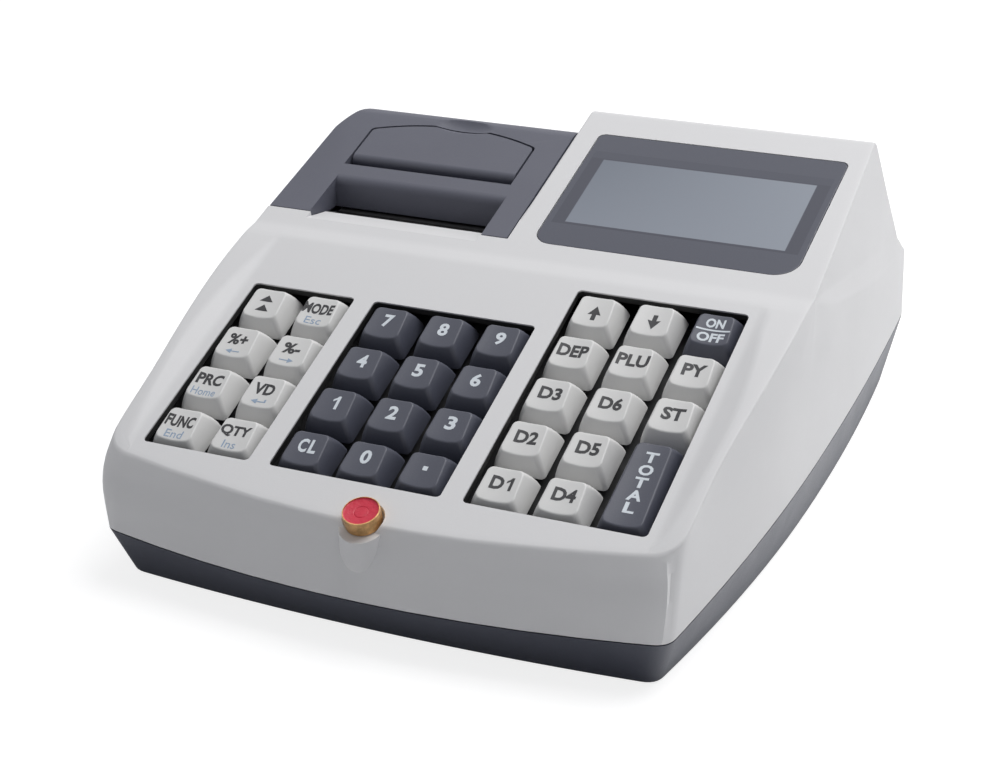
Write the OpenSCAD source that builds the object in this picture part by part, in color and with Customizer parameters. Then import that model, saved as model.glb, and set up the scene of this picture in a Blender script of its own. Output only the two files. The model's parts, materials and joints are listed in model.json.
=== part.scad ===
// Portable ticket register: key deck, display hood and ticket printer in one sloping case.
// Origin: middle of the bounding box, on the surface that the register stands on.
// +X is the user's right, +Y points to the back, +Z is up.

/* [Case] */
// Overall width at the widest point of the parting line
case_w = 194.4; // [188:0.2:215]
// Overall depth along the middle, front wall to back wall
case_d = 269; // [262:0.5:290]
// Wall thickness of both case halves
wall = 2.4; // [2:0.1:2.8]
// Thickness of the top of the upper case, measured straight down
roof_t = 2.8; // [2.4:0.1:3.2]
// Radius of the upright corners
corner_r = 5; // [3:0.5:7]
// How far the middle of the front stands ahead of its corners
front_bow = 10.8; // [6:0.2:12]
// How far the middle of the back stands behind its corners
back_bow = 2.5; // [1:0.1:4]
// How much narrower each side is at the front corner than at the widest point
side_bow_front = 6.9; // [5:0.1:8]
// How much narrower each side is at the back corner than at the widest point
side_bow_back = 5.8; // [4:0.1:7]
// Lean of the front wall, as run over rise
front_lean = 0.23; // [0.15:0.01:0.25]
// Lean of the sides at the front corners, as run over rise
corner_lean = 0.1; // [0.05:0.01:0.12]
// Gap between the two case halves
parting_gap = 0.4; // [0.3:0.05:0.6]

/* [Lower case] */
// Height of the parting line at the front
tub_h = 15.6; // [14.5:0.1:17]
// Rise of the parting line towards the back, in degrees
parting_rise = 2.3; // [1.8:0.1:2.6]
// How far the sides pull in towards the bottom
tub_flare = 4.6; // [3:0.1:6]
// How far the front pulls in towards the bottom, in the middle
tub_front_flare = 12.7; // [9:0.1:13]
// Height of the bottom of the lower case above the table
foot_gap = 2; // [1.5:0.1:3]
// Radius of the rubber feet
foot_r = 7; // [5:0.5:8]
// Depth of the recess that holds a foot
foot_seat = 0.6; // [0.4:0.1:1]

/* [Key deck] */
// Tilt of the key deck, in degrees
deck_tilt = 21.3; // [19:0.1:23]
// Distance from the front of the case to the deck's datum line
deck_datum_y = 22; // [21:0.1:24]
// Height of the datum line above the table
deck_datum_z = 44.7; // [43.5:0.1:47]
// Length of the deck from the datum line to its rear crease
deck_len = 96; // [95:0.1:100]
// Half width of the flat deck panel
deck_half_w = 83.5; // [82:0.1:86]
// How far the rails beside the panel rise above it halfway along
rail_crown = 2.4; // [1.5:0.1:3]
// Slope of the rails down to the panel, in degrees
rail_slope = 21; // [15:1:35]
// Length of the flatter strip behind the deck
strip_len = 7; // [5:0.1:9]
// Tilt of that strip, in degrees
strip_tilt = 10; // [6:0.5:14]

/* [Keys] */
// Distance between neighbouring keys
pitch = 19.05; // [18.8:0.05:19.3]
// Width of a key at its base
cap_w = 16.4; // [15.8:0.1:16.8]
// Depth of a key at its base
cap_d = 17.2; // [16.5:0.1:17.6]
// Width of a key's top face
cap_top_w = 11.9; // [11:0.1:12.5]
// Depth of a key's top face
cap_top_d = 11.9; // [11:0.1:12.5]
// Height of a key from its base to the front edge of its top
cap_h = 6.8; // [6:0.1:7.5]
// How far the front edge of a key's top stands above the deck
cap_proud = 0.4; // [0:0.1:1]
// Rise of a key's top towards its rear edge, in degrees
cap_rise = 7; // [4:0.5:9]
// Radius of the bulging sides of a key
cap_side_r = 20; // [16:1:30]
// Radius of a key's upright corners
cap_corner_r = 1.4; // [1.2:0.1:2]
// Radius of the dish in a key's top
cap_dish_r = 26; // [22:1:40]
// Wall of a key
cap_wall = 1.1; // [0.9:0.1:1.3]
// Gap between a block of keys and the edge of its window
window_gap = 0.4; // [0.3:0.05:0.6]
// Travel of a key
key_travel = 3.5; // [2.5:0.1:3.6]
// Distance of the front row's centre from the datum line, along the deck
row_first = 5.65; // [5.5:0.05:6.5]
// Centre of the left block of keys from the middle of the case
left_block_x = -62; // [-62.5:0.1:-61]
// Centre of the middle block of keys from the middle of the case
middle_block_x = -9.45; // [-10:0.05:-9]
// Centre of the right block of keys from the middle of the case
right_block_x = 52.65; // [52:0.05:53]
// Radius of a key's plunger
plunger_r = 3; // [2.5:0.1:3.2]
// Running clearance of a plunger in its sleeve
plunger_fit = 0.08; // [0.05:0.01:0.1]
// Depth of the plunger's end below the deck
plunger_depth = 12.8; // [12.6:0.1:13.2]
// Wall of a plunger sleeve
sleeve_wall = 1.4; // [1:0.1:1.6]
// Depth of the top of the sleeves below the deck
sleeve_top = 6.2; // [6:0.1:6.6]
// Depth of the key guide plate below the deck
guide_depth = 11.2; // [11:0.1:11.6]
// Thickness of the key guide plate
guide_t = 1.6; // [1.2:0.1:1.8]
// Depth of the base of the key mat below the deck
mat_depth = 16.6; // [16.5:0.1:17]
// Thickness of the key mat
mat_t = 1; // [0.8:0.1:1.2]
// Thickness of the circuit boards
board_t = 1.6; // [1:0.1:2]

/* [Hood and display] */
// Tilt of the hood and of the printer cover, in degrees
hood_tilt = 18.5; // [17:0.1:20]
// Length of the hood's face from the strip to its ridge
hood_len = 88; // [84:0.1:90]
// Slope of the hood's back, in degrees
back_slope = 49; // [46:0.5:52]
// Height of the foot of the hood's back above the table
back_foot_z = 63; // [61:0.5:66]
// Slope of the ledge behind the hood, in degrees
ledge_slope = 28.6; // [25:0.1:31]
// Height of the right shoulder where the hood's face begins
shoulder_z = 80.5; // [79:0.1:81]
// Fall of the right shoulder towards the back, in degrees
shoulder_fall = 8.8; // [8:0.1:10]
// Height of the chamfer along the shoulder
shoulder_drop = 8; // [5:0.5:10]
// Lean of the hood's right side, in degrees
hood_side_lean = 3.5; // [2:0.5:8]
// Centre of the display window from the middle of the case
lens_x = 43.9; // [43:0.1:45]
// Width of the display window
lens_w = 87.2; // [84:0.1:88]
// Height of the display window
lens_h = 63.6; // [60:0.1:65]
// Distance from the start of the hood's face to the display window
lens_s = 9.6; // [8:0.1:12]
// Thickness of the display window
lens_t = 1.6; // [1.2:0.1:2]
// Radius of the display window's corners
lens_r = 5; // [3:0.5:8]
// Gap around the display window
lens_gap = 0.25; // [0.2:0.05:0.35]
// Width of the visible display
screen_w = 73.9; // [70:0.1:75]
// Height of the visible display
screen_h = 36.4; // [34:0.1:40]
// Distance from the start of the hood's face to the visible display
screen_s = 22.2; // [20:0.1:23]
// Margin of the display module around the visible display
module_margin = 4; // [3:0.5:5]
// Thickness of the display module
module_t = 7; // [5:0.5:9]

/* [Printer cover] */
// Right edge of the printer cover from the middle of the case
cover_right = -8.4; // [-9:0.1:-8]
// Distance from the start of the hood's face to the cover's front edge
cover_front = 9.5; // [8.5:0.1:10.5]
// Distance from the start of the hood's face to the hinge axis
hinge_s = 69; // [68:0.1:70]
// Radius of the cover's rolled rear edge
hinge_r = 11; // [10:0.1:12]
// Height of the cover's side skirts
cover_drop = 6.5; // [6:0.1:7]
// Wall of the printer cover
cover_wall = 2.2; // [1.8:0.1:2.4]
// Gap around the printer cover
cover_gap = 0.4; // [0.3:0.05:0.5]
// Radius of the hinge pins
pin_r = 1.6; // [1.2:0.1:2]
// Running clearance of the pins
pin_fit = 0.08; // [0.05:0.01:0.1]
// Left edge of the ticket exit from the middle of the case
exit_left = -80.7; // [-82:0.1:-79]
// Right edge of the ticket exit from the middle of the case
exit_right = -17.5; // [-19:0.1:-16.5]
// Distance from the start of the hood's face to the rear wall of the ticket exit
exit_back = 29.3; // [28:0.1:30]
// Depth of the lower edge of the exit's walls below the start of the hood's face
exit_floor_drop = 0.8; // [0.3:0.1:1.3]
// Distance from the start of the hood's face to the front of the case's lip under the exit
lip_front = 5.6; // [4:0.1:7]
// Length of that lip
lip_len = 14; // [12:0.1:15]
// Fall of that lip towards the back, in degrees
lip_fall = 8; // [6:0.5:10]
// Thickness of that lip
lip_t = 1.6; // [1.4:0.1:1.8]
// Front edge of the lever well, from the start of the hood's face
well_front = 38; // [37:0.1:40]
// Left edge of the lever from the middle of the case
lever_left = -80.8; // [-82:0.1:-79]
// Right edge of the lever from the middle of the case
lever_right = -19.6; // [-21:0.1:-19]
// Front edge of the lever, from the start of the hood's face
lever_front = 42.2; // [42:0.1:44]
// Rear edge of the lever in its middle, from the start of the hood's face
lever_rear = 66.4; // [66:0.1:67]
// Radius of the lever's curved rear edge
lever_arc_r = 78; // [70:1:90]
// Thickness of the lever
lever_t = 2; // [1.6:0.1:2.4]
// Radius of the lever's rolled front edge
lever_roll_r = 2.6; // [2.4:0.1:3]
// Depth of the lever well
well_depth = 6; // [5.8:0.1:6.6]
// Gap around the lever
lever_gap = 0.35; // [0.3:0.05:0.5]

/* [Printer] */
// Distance of the platen's axis behind the start of the hood's face
platen_back = 26.7; // [26:0.1:27]
// Depth of the platen's axis below the start of the hood's face
platen_drop = 9.3; // [8.8:0.1:10]
// Radius of the platen roller
platen_r = 5; // [4.5:0.1:5.2]
// Length of the platen roller
platen_len = 58; // [50:0.5:58.5]
// Radius of the platen's shaft
shaft_r = 1.5; // [1.2:0.1:1.8]
// Thickness of the printer's side plates
plate_t = 2; // [1.5:0.1:2.4]
// Radius of the paper bay
bay_r = 21; // [19:0.5:21.5]
// Distance of the paper bay's axis behind the platen's axis
bay_back = 24; // [23.5:0.5:26]
// Depth of the paper bay's axis below the start of the hood's face
bay_drop = 22.8; // [22:0.1:24]
// Wall of the paper bay
bay_wall = 1.6; // [1.2:0.1:2]
// Tooth size of the gears, pitch diameter over number of teeth
gear_mod = 0.5; // [0.45:0.01:0.52]
// Width of the gears
gear_w = 3; // [2.5:0.1:3]
// Radius of the stepper motor
motor_r = 8; // [7:0.1:8.5]
// Length of the stepper motor
motor_len = 14; // [12:0.5:18]

/* [Electronics and fasteners] */
// Width of the main board
board_w = 86; // [80:1:90]
// Depth of the main board
board_d = 100; // [90:1:102]
// Height of the main board above the table
board_z = 9.4; // [9:0.1:10]
// Width of the battery pack
battery_w = 62; // [55:1:62]
// Depth of the battery pack
battery_d = 38; // [30:1:40]
// Height of the battery pack
battery_h = 20; // [16:0.5:22]
// Width of the fiscal memory
memory_w = 40; // [36:1:44]
// Depth of the fiscal memory
memory_d = 28; // [24:1:30]
// Height of the fiscal memory
memory_h = 12; // [10:0.5:14]
// Thickness of the battery door
door_t = 2; // [1.6:0.1:2.2]
// Radius of the case screws
screw_r = 1.5; // [1.2:0.1:1.6]
// Radius of the heads of the case screws
head_r = 3; // [2.6:0.1:3.2]
// Radius of the screw bosses
boss_r = 4.5; // [4.2:0.1:5]
// Radius of the seal cup
seal_r = 5.8; // [5.5:0.1:6]
// Height of the seal cup
seal_h = 5; // [4:0.1:5.5]
// Distance of the seal ahead of the datum line, along the deck
seal_ahead = 16; // [15:0.1:16.5]
// How far the seal cup's rim stands above the deck
seal_proud = 3; // [2.5:0.1:3.5]

/* [Hidden] */
// Each key: name, block centre, columns in the block, column, row, height in rows, dark cap
DARK = true;
LIGHT = false;
KEYS = [
    for (k = [["key_func", 0, 0], ["key_qty", 1, 0], ["key_prc", 0, 1], ["key_vd", 1, 1],
              ["key_percent_plus", 0, 2], ["key_percent_minus", 1, 2], ["key_feed", 0, 3], ["key_mode", 1, 3]])
        [k[0], left_block_x, 2, k[1], k[2], 1, LIGHT],
    for (k = [["key_cl", 0, 0], ["key_0", 1, 0], ["key_dot", 2, 0], ["key_1", 0, 1], ["key_2", 1, 1],
              ["key_3", 2, 1], ["key_4", 0, 2], ["key_5", 1, 2], ["key_6", 2, 2], ["key_7", 0, 3],
              ["key_8", 1, 3], ["key_9", 2, 3]])
        [k[0], middle_block_x, 3, k[1], k[2], 1, DARK],
    for (k = [["key_d1", 0, 0], ["key_d4", 1, 0], ["key_d2", 0, 1], ["key_d5", 1, 1], ["key_d3", 0, 2],
              ["key_d6", 1, 2], ["key_st", 2, 2], ["key_dep", 0, 3], ["key_plu", 1, 3], ["key_py", 2, 3],
              ["key_up", 0, 4], ["key_down", 1, 4]])
        [k[0], right_block_x, 3, k[1], k[2], 1, LIGHT],
    ["key_total", right_block_x, 3, 2, 0, 2, DARK],
    ["key_on_off", right_block_x, 3, 2, 4, 1, DARK]
];
// Each window: block centre, columns, rows
WINDOWS = [[left_block_x, 2, 4], [middle_block_x, 3, 4], [right_block_x, 3, 5]];

$fn = 48;
far = 400;                          // reach of the cutting blocks
eps = 0.01;                         // thickness of the plates that hulls are drawn over
light_grey = [0.84, 0.84, 0.85];
dark_grey = [0.36, 0.37, 0.42];
front_y = -case_d / 2;
back_y = case_d / 2;
half_w = case_w / 2;
top_z = 110;                        // height at which the case's upper outline is drawn
wide_y = front_y + 132;             // where the case is widest
lean_h = top_z - tub_h;             // height over which the front wall leans

// Datum of the deck and of the hood's face
deck_y = front_y + deck_datum_y;
deck_z = deck_datum_z;
crease_y = deck_y + deck_len * cos(deck_tilt);
crease_z = deck_z + deck_len * sin(deck_tilt);
hood_y = crease_y + strip_len * cos(strip_tilt);
hood_z = crease_z + strip_len * sin(strip_tilt);
ridge_y = hood_y + hood_len * cos(hood_tilt);
ridge_z = hood_z + hood_len * sin(hood_tilt);
back_foot_y = ridge_y + (ridge_z - back_foot_z) / tan(back_slope);
ledge_end_y = back_y + 5;
ledge_end_z = back_foot_z - (ledge_end_y - back_foot_y) * tan(ledge_slope);
exit_floor_z = hood_z - exit_floor_drop;
platen_z = hood_z - platen_drop;
bay_z = hood_z - bay_drop;
seam_x = cover_right + cover_gap;   // left side of the hood
seam_lap = 0.1;                     // how far the hood reaches past it behind the cover

// The hinge axis of the printer cover
hinge_y = hood_y + hinge_s * cos(hood_tilt) + hinge_r * sin(hood_tilt);
hinge_z = hood_z + hinge_s * sin(hood_tilt) - hinge_r * cos(hood_tilt);
roll_back = [hinge_y + hinge_r * sin(back_slope), hinge_z + hinge_r * cos(back_slope)];
// Where the slope behind the cover meets the ledge
meet_y = (roll_back[1] + roll_back[0] * tan(back_slope) - back_foot_z - back_foot_y * tan(ledge_slope))
    / (tan(back_slope) - tan(ledge_slope));
meet_z = roll_back[1] - (meet_y - roll_back[0]) * tan(back_slope);

// Side views of the top of the case, front to back
deck_start = [deck_y - deck_z / tan(deck_tilt), 0];
rail_start = -8.6;                  // where the rails start to rise, from the datum line
rail_steps = 10;                    // straight pieces that the rails' arc is drawn with
rail_points = [for (k = [0:rail_steps - 1]) let (
    t = k / rail_steps, v = rail_start + t * (deck_len - rail_start), h = 4 * rail_crown * t * (1 - t))
    [deck_y + v * cos(deck_tilt) - h * sin(deck_tilt), deck_z + v * sin(deck_tilt) + h * cos(deck_tilt)]];
skyline_mid = [[crease_y, crease_z], [hood_y, hood_z]];
function hood_point(s, h) = [hood_y + s * cos(hood_tilt) - h * sin(hood_tilt),
    hood_z + s * sin(hood_tilt) + h * cos(hood_tilt)];
low_back = [hood_point(20, 0), hood_point(hinge_s - 8, -4), roll_back, [meet_y, meet_z],
    [ledge_end_y, ledge_end_z], [ledge_end_y, 0]];
// Side view of the whole case without the hood, with the rails and without them for the inside
skyline_low = concat([deck_start], rail_points, skyline_mid, low_back);
skyline_under = concat([deck_start], skyline_mid, low_back);
// Side view of the hood alone, with its foot inside the case
hood_sunk = 6;
hood_back_y = back_foot_y + hood_sunk / tan(back_slope);
hood_view = [[hood_y, hood_z], [ridge_y, ridge_z], [hood_back_y, back_foot_z - hood_sunk],
    [hood_back_y, back_foot_z / 2], [hood_y, back_foot_z / 2]];

// Plan outline of the case: half widths at the front corner, widest point and back corner, then the
// depths of the front corner, front middle, back corner and back middle, each pulled in by an inset
steps = 12;                         // straight pieces that each side of the outline is drawn with
parting_outline = [half_w - side_bow_front, half_w, half_w - side_bow_back,
    front_y + front_bow, front_y, back_y - back_bow, back_y];
side_lean = 1.5;                    // how much the sides close in up to top_z
back_lean = 8;                      // how much the back leans in up to top_z
top_outline = [parting_outline[0] - corner_lean * lean_h, half_w - side_lean, parting_outline[2] - side_lean,
    parting_outline[3] + front_lean * lean_h, front_y + front_lean * lean_h,
    parting_outline[5] - back_lean, back_y - back_lean];
corner_flare = 6.5;                 // how far the tub's front corners pull in sideways
corner_front_flare = 6.2;           // how far the tub's front corners pull in backwards
tub_outline = [parting_outline[0] - corner_flare, half_w - tub_flare, parting_outline[2] - tub_flare,
    parting_outline[3] + corner_front_flare, front_y + tub_front_flare,
    parting_outline[5] - tub_flare, back_y - tub_flare];

function side_x(o, y, i) = y < wide_y
    ? o[1] - i - (o[1] - o[0]) * pow((wide_y - y) / (wide_y - o[3] - i), 2)
    : o[1] - i - (o[1] - o[2]) * pow((y - wide_y) / (o[5] - i - wide_y), 2);
function outline(o, i) = concat(
    [for (k = [0:steps]) let (t = 2 * k / steps - 1)
        [(o[0] - i) * t, o[4] + i + (o[3] - o[4]) * t * t]],
    [for (k = [1:steps - 1]) let (y = o[3] + i + (o[5] - o[3] - 2 * i) * k / steps) [side_x(o, y, i), y]],
    [for (k = [0:steps]) let (t = 1 - 2 * k / steps)
        [(o[2] - i) * t, o[6] - i - (o[6] - o[5]) * t * t]],
    [for (k = [1:steps - 1]) let (y = o[5] - i - (o[5] - o[3] - 2 * i) * k / steps) [-side_x(o, y, i), y]]);

module rounded_outline(o, i) {
    offset(r = corner_r, $fn = 32) offset(delta = -corner_r) polygon(outline(o, i));
}

// Thin plate along the parting line, which rises towards the back
module parting_plate(i) {
    translate([0, front_y, tub_h]) rotate([parting_rise, 0, 0]) translate([0, -front_y, 0])
        linear_extrude(eps) rounded_outline(parting_outline, i);
}

// Solid form of the upper case, before its top is cut to shape
module upper_form(i = 0) {
    hull() {
        parting_plate(i);
        translate([0, 0, top_z]) linear_extrude(eps) rounded_outline(top_outline, i);
    }
}

// Solid form of the lower case
module tub_form(i = 0, bottom = foot_gap) {
    hull() {
        parting_plate(i);
        translate([0, 0, bottom]) linear_extrude(eps) rounded_outline(tub_outline, i);
    }
}

// Everything above the parting line, from a height over it
module above_parting(gap) {
    translate([-far / 2, front_y, tub_h + gap]) rotate([parting_rise, 0, 0])
        translate([0, -far / 4, 0]) cube([far, 2 * far, far]);
}

// Side view drawn across the case from one width to another
module across(points, from, to) {
    translate([from, 0, 0]) rotate([90, 0, 90]) linear_extrude(to - from) polygon(points);
}

module on_deck() {
    translate([0, deck_y, deck_z]) rotate([deck_tilt, 0, 0]) children();
}

module on_hood() {
    translate([0, hood_y, hood_z]) rotate([hood_tilt, 0, 0]) children();
}

// Rounded plate that lies on its centre in x and starts at y = 0
module round_plate(w, d, t, r) {
    linear_extrude(t) {
        translate([-w / 2 + r, 0]) square([w - 2 * r, d]);
        translate([-w / 2, r]) square([w, d - 2 * r]);
        for (x = [-w / 2 + r, w / 2 - r], y = [r, d - r]) translate([x, y]) circle(r);
    }
}

// Rod along x
module rod(x0, x1, r) {
    translate([x0, 0, 0]) rotate([0, 90, 0]) cylinder(r = r, h = x1 - x0);
}

/* Key positions on the deck */
function key_x(block, columns, column) = block + (column - (columns - 1) / 2) * pitch;
function key_y(row, rows) = row_first + (row + (rows - 1) / 2) * pitch;
function window_w(columns) = (columns - 1) * pitch + cap_w + 2 * window_gap;
function window_d(rows) = (rows - 1) * pitch + cap_d + 2 * window_gap;
window_r = 1.6;                     // corner radius of a key window

module at_key(k) {
    translate([key_x(k[1], k[2], k[3]), key_y(k[4], k[5]), 0]) children();
}

// Key cap with its plunger, in the deck's frame with the key's centre at the origin
module key_body(rows) {
    d = cap_d + (rows - 1) * pitch;
    top_d = cap_top_d + (rows - 1) * pitch;
    base = cap_proud - cap_h;
    crown = cap_h + cap_spare;
    side_in = (cap_w - cap_top_w) / 2;
    end_in = (d - top_d) / 2;
    difference() {
        intersection() {
            translate([0, -d / 2, base]) round_plate(cap_w, d, crown, cap_corner_r);
            for (s = [-1, 1]) bulge(s, cap_w / 2, side_in, base, 0, d);
            for (s = [-1, 1]) bulge(s, d / 2, end_in, base, 90, cap_w);
        }
        // The dished top, rising to the rear
        translate([0, -top_d / 2, cap_proud]) rotate([cap_rise / rows, 0, 0]) {
            translate([0, top_d / 2, cap_dish_r - dish_sag]) rotate([90, 0, 0])
                cylinder(r = cap_dish_r, h = 2 * d, center = true, $fn = 96);
            for (s = [-1, 1]) translate([s * cap_w - cap_w / 2, -d, 0]) cube([cap_w, 3 * d, cap_h]);
            translate([-cap_w, -d, 0]) cube([2 * cap_w, 3 * d, cap_h]);
        }
        // The hollow underneath
        translate([-cap_w / 2 + cap_wall + hollow_in, -d / 2 + cap_wall + hollow_in, base - 1])
            cube([cap_w - 2 * cap_wall - 2 * hollow_in, d - 2 * cap_wall - 2 * hollow_in,
                cap_h - cap_roof - dish_sag + 1]);
    }
    translate([0, 0, -plunger_depth]) cylinder(r = plunger_r, h = plunger_depth - dish_sag - cap_roof + 1);
}
dish_sag = cap_dish_r - sqrt(cap_dish_r * cap_dish_r - cap_top_w * cap_top_w / 4);
hollow_in = 0.5;                    // extra wall where the sides bulge in
cap_roof = 1.3;                     // thickness of a key's top
cap_spare = 2.6;                    // how much higher the block starts that the dish is cut from

// Everything inside one bulging side: s says which side, half its distance from the centre,
// inward how far it closes in over the key's height
module bulge(s, half, inward, base, turn, len) {
    chord = sqrt(inward * inward + cap_h * cap_h);
    away = sqrt(cap_side_r * cap_side_r - chord * chord / 4);
    // Centre of the circle through the base edge and the top edge
    cx = half - inward / 2 - away * cap_h / chord;
    cz = base + cap_h / 2 - away * inward / chord;
    rotate([0, 0, turn]) translate([s * cx, 0, cz]) rotate([90, 0, 0])
        cylinder(r = cap_side_r, h = 2 * len, center = true, $fn = 128);
}

module keycap(k) {
    color(k[6] ? dark_grey : light_grey) on_deck() at_key(k) key_body(k[5]);
}

/* Upper case */
// Rows and columns of the posts that hold the key guide and its board
post_in = 13.2;                     // outer posts from the sides at the widest point
post_x = [post_in - half_w, -40.5, 21.75, half_w - post_in];
post_y = [-1, 36, 75];
post_r = 2.1;
post_end_gap = 0.1;
boss_x = 80;                        // case screws from the middle
boss_in = 22;                       // case screws from the back
BOSSES = [for (x = [-boss_x, boss_x]) [x, back_y - boss_in]];

// Outside of the upper case: two side views across the case, cut by the right shoulder
module upper_outside() {
    difference() {
        intersection() {
            upper_form();
            union() {
                across(skyline_low, -far / 2, far / 2);
                across(hood_view, seam_x - seam_lap, far / 2);
            }
        }
        right_shoulder();
        deck_panel();
    }
}

// What the leaning side of the hood and the chamfer of the shoulder take away
shoulder_x = half_w - 1.1;          // where the hood's side meets the chamfer, at its front end
shoulder_turn = 1.25;               // how much the hood's side turns inwards to the back, in degrees
module right_shoulder() {
    translate([0, hood_y, shoulder_z]) rotate([-shoulder_fall, 0, 0]) {
        translate([shoulder_x, -2, 0]) rotate([0, -hood_side_lean, shoulder_turn]) cube([far / 8, far, far / 4]);
        translate([shoulder_x, -2, 0])
            rotate([0, 90 - atan(shoulder_in / shoulder_drop), shoulder_turn])
                translate([-shoulder_drop, 0, 0]) cube([2 * shoulder_drop, far, 3 * shoulder_drop]);
    }
}
shoulder_in = 1.4;                  // width of the chamfer along the shoulder

// The flat panel around the keys, with the slopes of the rails beside it
module deck_panel() {
    rise = 2 * rail_crown;
    out = rise / tan(rail_slope);
    on_deck() translate([0, deck_len, 0]) rotate([90, 0, 0]) linear_extrude(far / 2)
        polygon([[-deck_half_w, 0], [deck_half_w, 0], [deck_half_w + out, rise], [-deck_half_w - out, rise]]);
}

// Everything under the case's top, from a depth below it and a distance inside the hood's left wall
module under_roof(depth, inset) {
    translate([0, 0, -depth]) {
        across(skyline_under, -far / 2, far / 2);
        across(hood_view, seam_x - seam_lap + inset, far / 2);
    }
}

module upper_inside() {
    difference() {
        intersection() {
            upper_form(wall);
            under_roof(roof_t, wall);
        }
        translate([-wall, 0, -roof_t / 2]) right_shoulder();
    }
}

// The space that the printer cover needs, grown by a gap
module cover_space(c) {
    on_hood() {
        translate([-far / 2, cover_front - c, -cover_drop - c])
            cube([far / 2 + cover_right + c, hinge_s - cover_front + c, far / 10]);
        translate([0, hinge_s, -hinge_r]) rod(-far / 2, cover_right + c, hinge_r + c);
    }
}

module windows() {
    for (w = WINDOWS) on_deck()
        translate([w[0], key_y(0, 1) - cap_d / 2 - window_gap, -far / 20])
            round_plate(window_w(w[1]), window_d(w[2]), far / 10, window_r);
}

// Lip of the case under the ticket exit: the cut above it, and the tongue itself
lip_y = hood_y + lip_front * cos(hood_tilt);
lip_z = hood_z + lip_front * sin(hood_tilt);
module on_lip() {
    translate([exit_left + cover_gap, lip_y, lip_z]) rotate([-lip_fall, 0, 0]) children();
}
lip_w = exit_right - exit_left - 2 * cover_gap;
module exit_lip() {
    on_lip() cube([lip_w, far / 20, far / 20]);
}

module exit_tongue() {
    on_lip() translate([0, 0, -lip_t]) cube([lip_w, lip_len, lip_t]);
}

// Boss under the seal: round on the deck, merging down the front wall
boss_grow = 1.1;                    // how far the boss stands out around the seal cup
boss_down = 21;                     // depth of the boss's point below the deck
module seal_boss() {
    on_deck() translate([0, -seal_ahead, 0]) {
        translate([0, 0, -seal_sunk]) cylinder(r = seal_r + boss_grow, h = seal_sunk);
        translate([0, 0, -boss_down - seal_sunk]) cylinder(r1 = 1, r2 = seal_r + boss_grow, h = boss_down);
    }
}
seal_sunk = seal_h - seal_proud;    // depth of the cup's floor below the deck
seal_screw_len = 30;                // length of the screw under the seal
seat = 0.1;                         // play between parts that sit on each other

// Ear that carries the left pin of the printer cover
ear_in = 3.2;                       // distance from the side wall's outer face to the ear
ear_t = 2.8;                        // thickness of the ear
ear_r = 4;                          // radius of the ear around the pin
ear_len = 16;                       // reach of the ear ahead of the pin
ear_h = 7;                          // height of the ear
ear_root_gap = 1.2;                 // gap between the ear's root and the rolled edge
hinge_half_w = side_x(parting_outline, hinge_y, 0) - side_lean * (hinge_z - tub_h) / lean_h;
ear_x = -hinge_half_w + ear_in;
module hinge_ear() {
    on_hood() translate([0, hinge_s, -hinge_r]) {
        rod(ear_x, ear_x + ear_t, ear_r);
        translate([ear_x, -ear_len, -ear_h + ear_r]) cube([ear_t, ear_len, ear_h]);
    }
    intersection() {
        upper_form(wall / 2);
        on_hood() translate([-far / 2, hinge_s - ear_len, -hinge_r - ear_h + ear_r])
            cube([far / 2 + ear_x + ear_t, ear_len - hinge_r - ear_root_gap, ear_h]);
    }
}

// Posts from the deck down to the key guide
module deck_posts() {
    for (x = post_x, y = post_y) on_deck()
        translate([x, y, -guide_depth + post_end_gap]) cylinder(r = post_r, h = guide_depth - 1);
}

screw_top = 14;                     // how far a case screw reaches above the parting line
screw_fit = 0.05;                   // play around a screw
head_fit = 0.3;                     // play around a screw's head
module upper_bosses() {
    intersection() {
        upper_form(wall / 2);
        under_roof(roof_t / 2, wall / 2);
        above_parting(parting_gap);
        difference() {
            for (b = BOSSES) translate([b[0], b[1], 0]) cylinder(r = boss_r, h = far / 4);
            for (b = BOSSES) translate([b[0], b[1], 0])
                cylinder(r = screw_r + screw_fit, h = parting_z(b[1]) + screw_top + 1);
        }
    }
}
function parting_z(y) = tub_h + (y - front_y) * tan(parting_rise);

module upper_case() {
    color(light_grey) {
        upper_shell();
        difference() {
            exit_tongue();
            on_hood() translate([-far / 2, 0, 0]) cube([far, far, far / 20]);
        }
    }
}

module upper_shell() {
    difference() {
        union() {
            difference() {
                upper_outside();
                upper_inside();
            }
            seal_boss_shell();
            deck_posts();
            hinge_ear();
            upper_bosses();
        }
        // below the parting line
        difference() {
            translate([-far / 2, -far / 2, -far / 2]) cube([far, far, far]);
            above_parting(parting_gap);
        }
        difference() {
            cover_space(cover_gap);
            ear_keep();
        }
        windows();
        exit_lip();
        // opening and seat of the display window
        on_hood() translate([lens_x, lens_s - lens_gap, -lens_t])
            round_plate(lens_w + 2 * lens_gap, lens_h + 2 * lens_gap, far / 20, lens_r);
        on_hood() translate([lens_x - screen_w / 2 - module_margin - 1, screen_s - module_margin - 1, -far / 20])
            cube([screen_w + 2 * module_margin + 2, screen_h + 2 * module_margin + 2, far / 20]);
        // hinge bores
        on_hood() translate([0, hinge_s, -hinge_r]) {
            rod(ear_x - 1, ear_x + ear_t + 1, pin_r + pin_fit);
            rod(seam_x - 1, seam_x + wall + 1, pin_r + pin_fit);
        }
        // seat and bore of the seal
        on_deck() translate([0, -seal_ahead, -seal_sunk]) {
            cylinder(r = seal_r + seat, h = far / 10);
            translate([0, 0, -seal_screw_len - 1]) cylinder(r = screw_r + screw_fit, h = seal_screw_len + 2);
        }
    }
}

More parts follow.
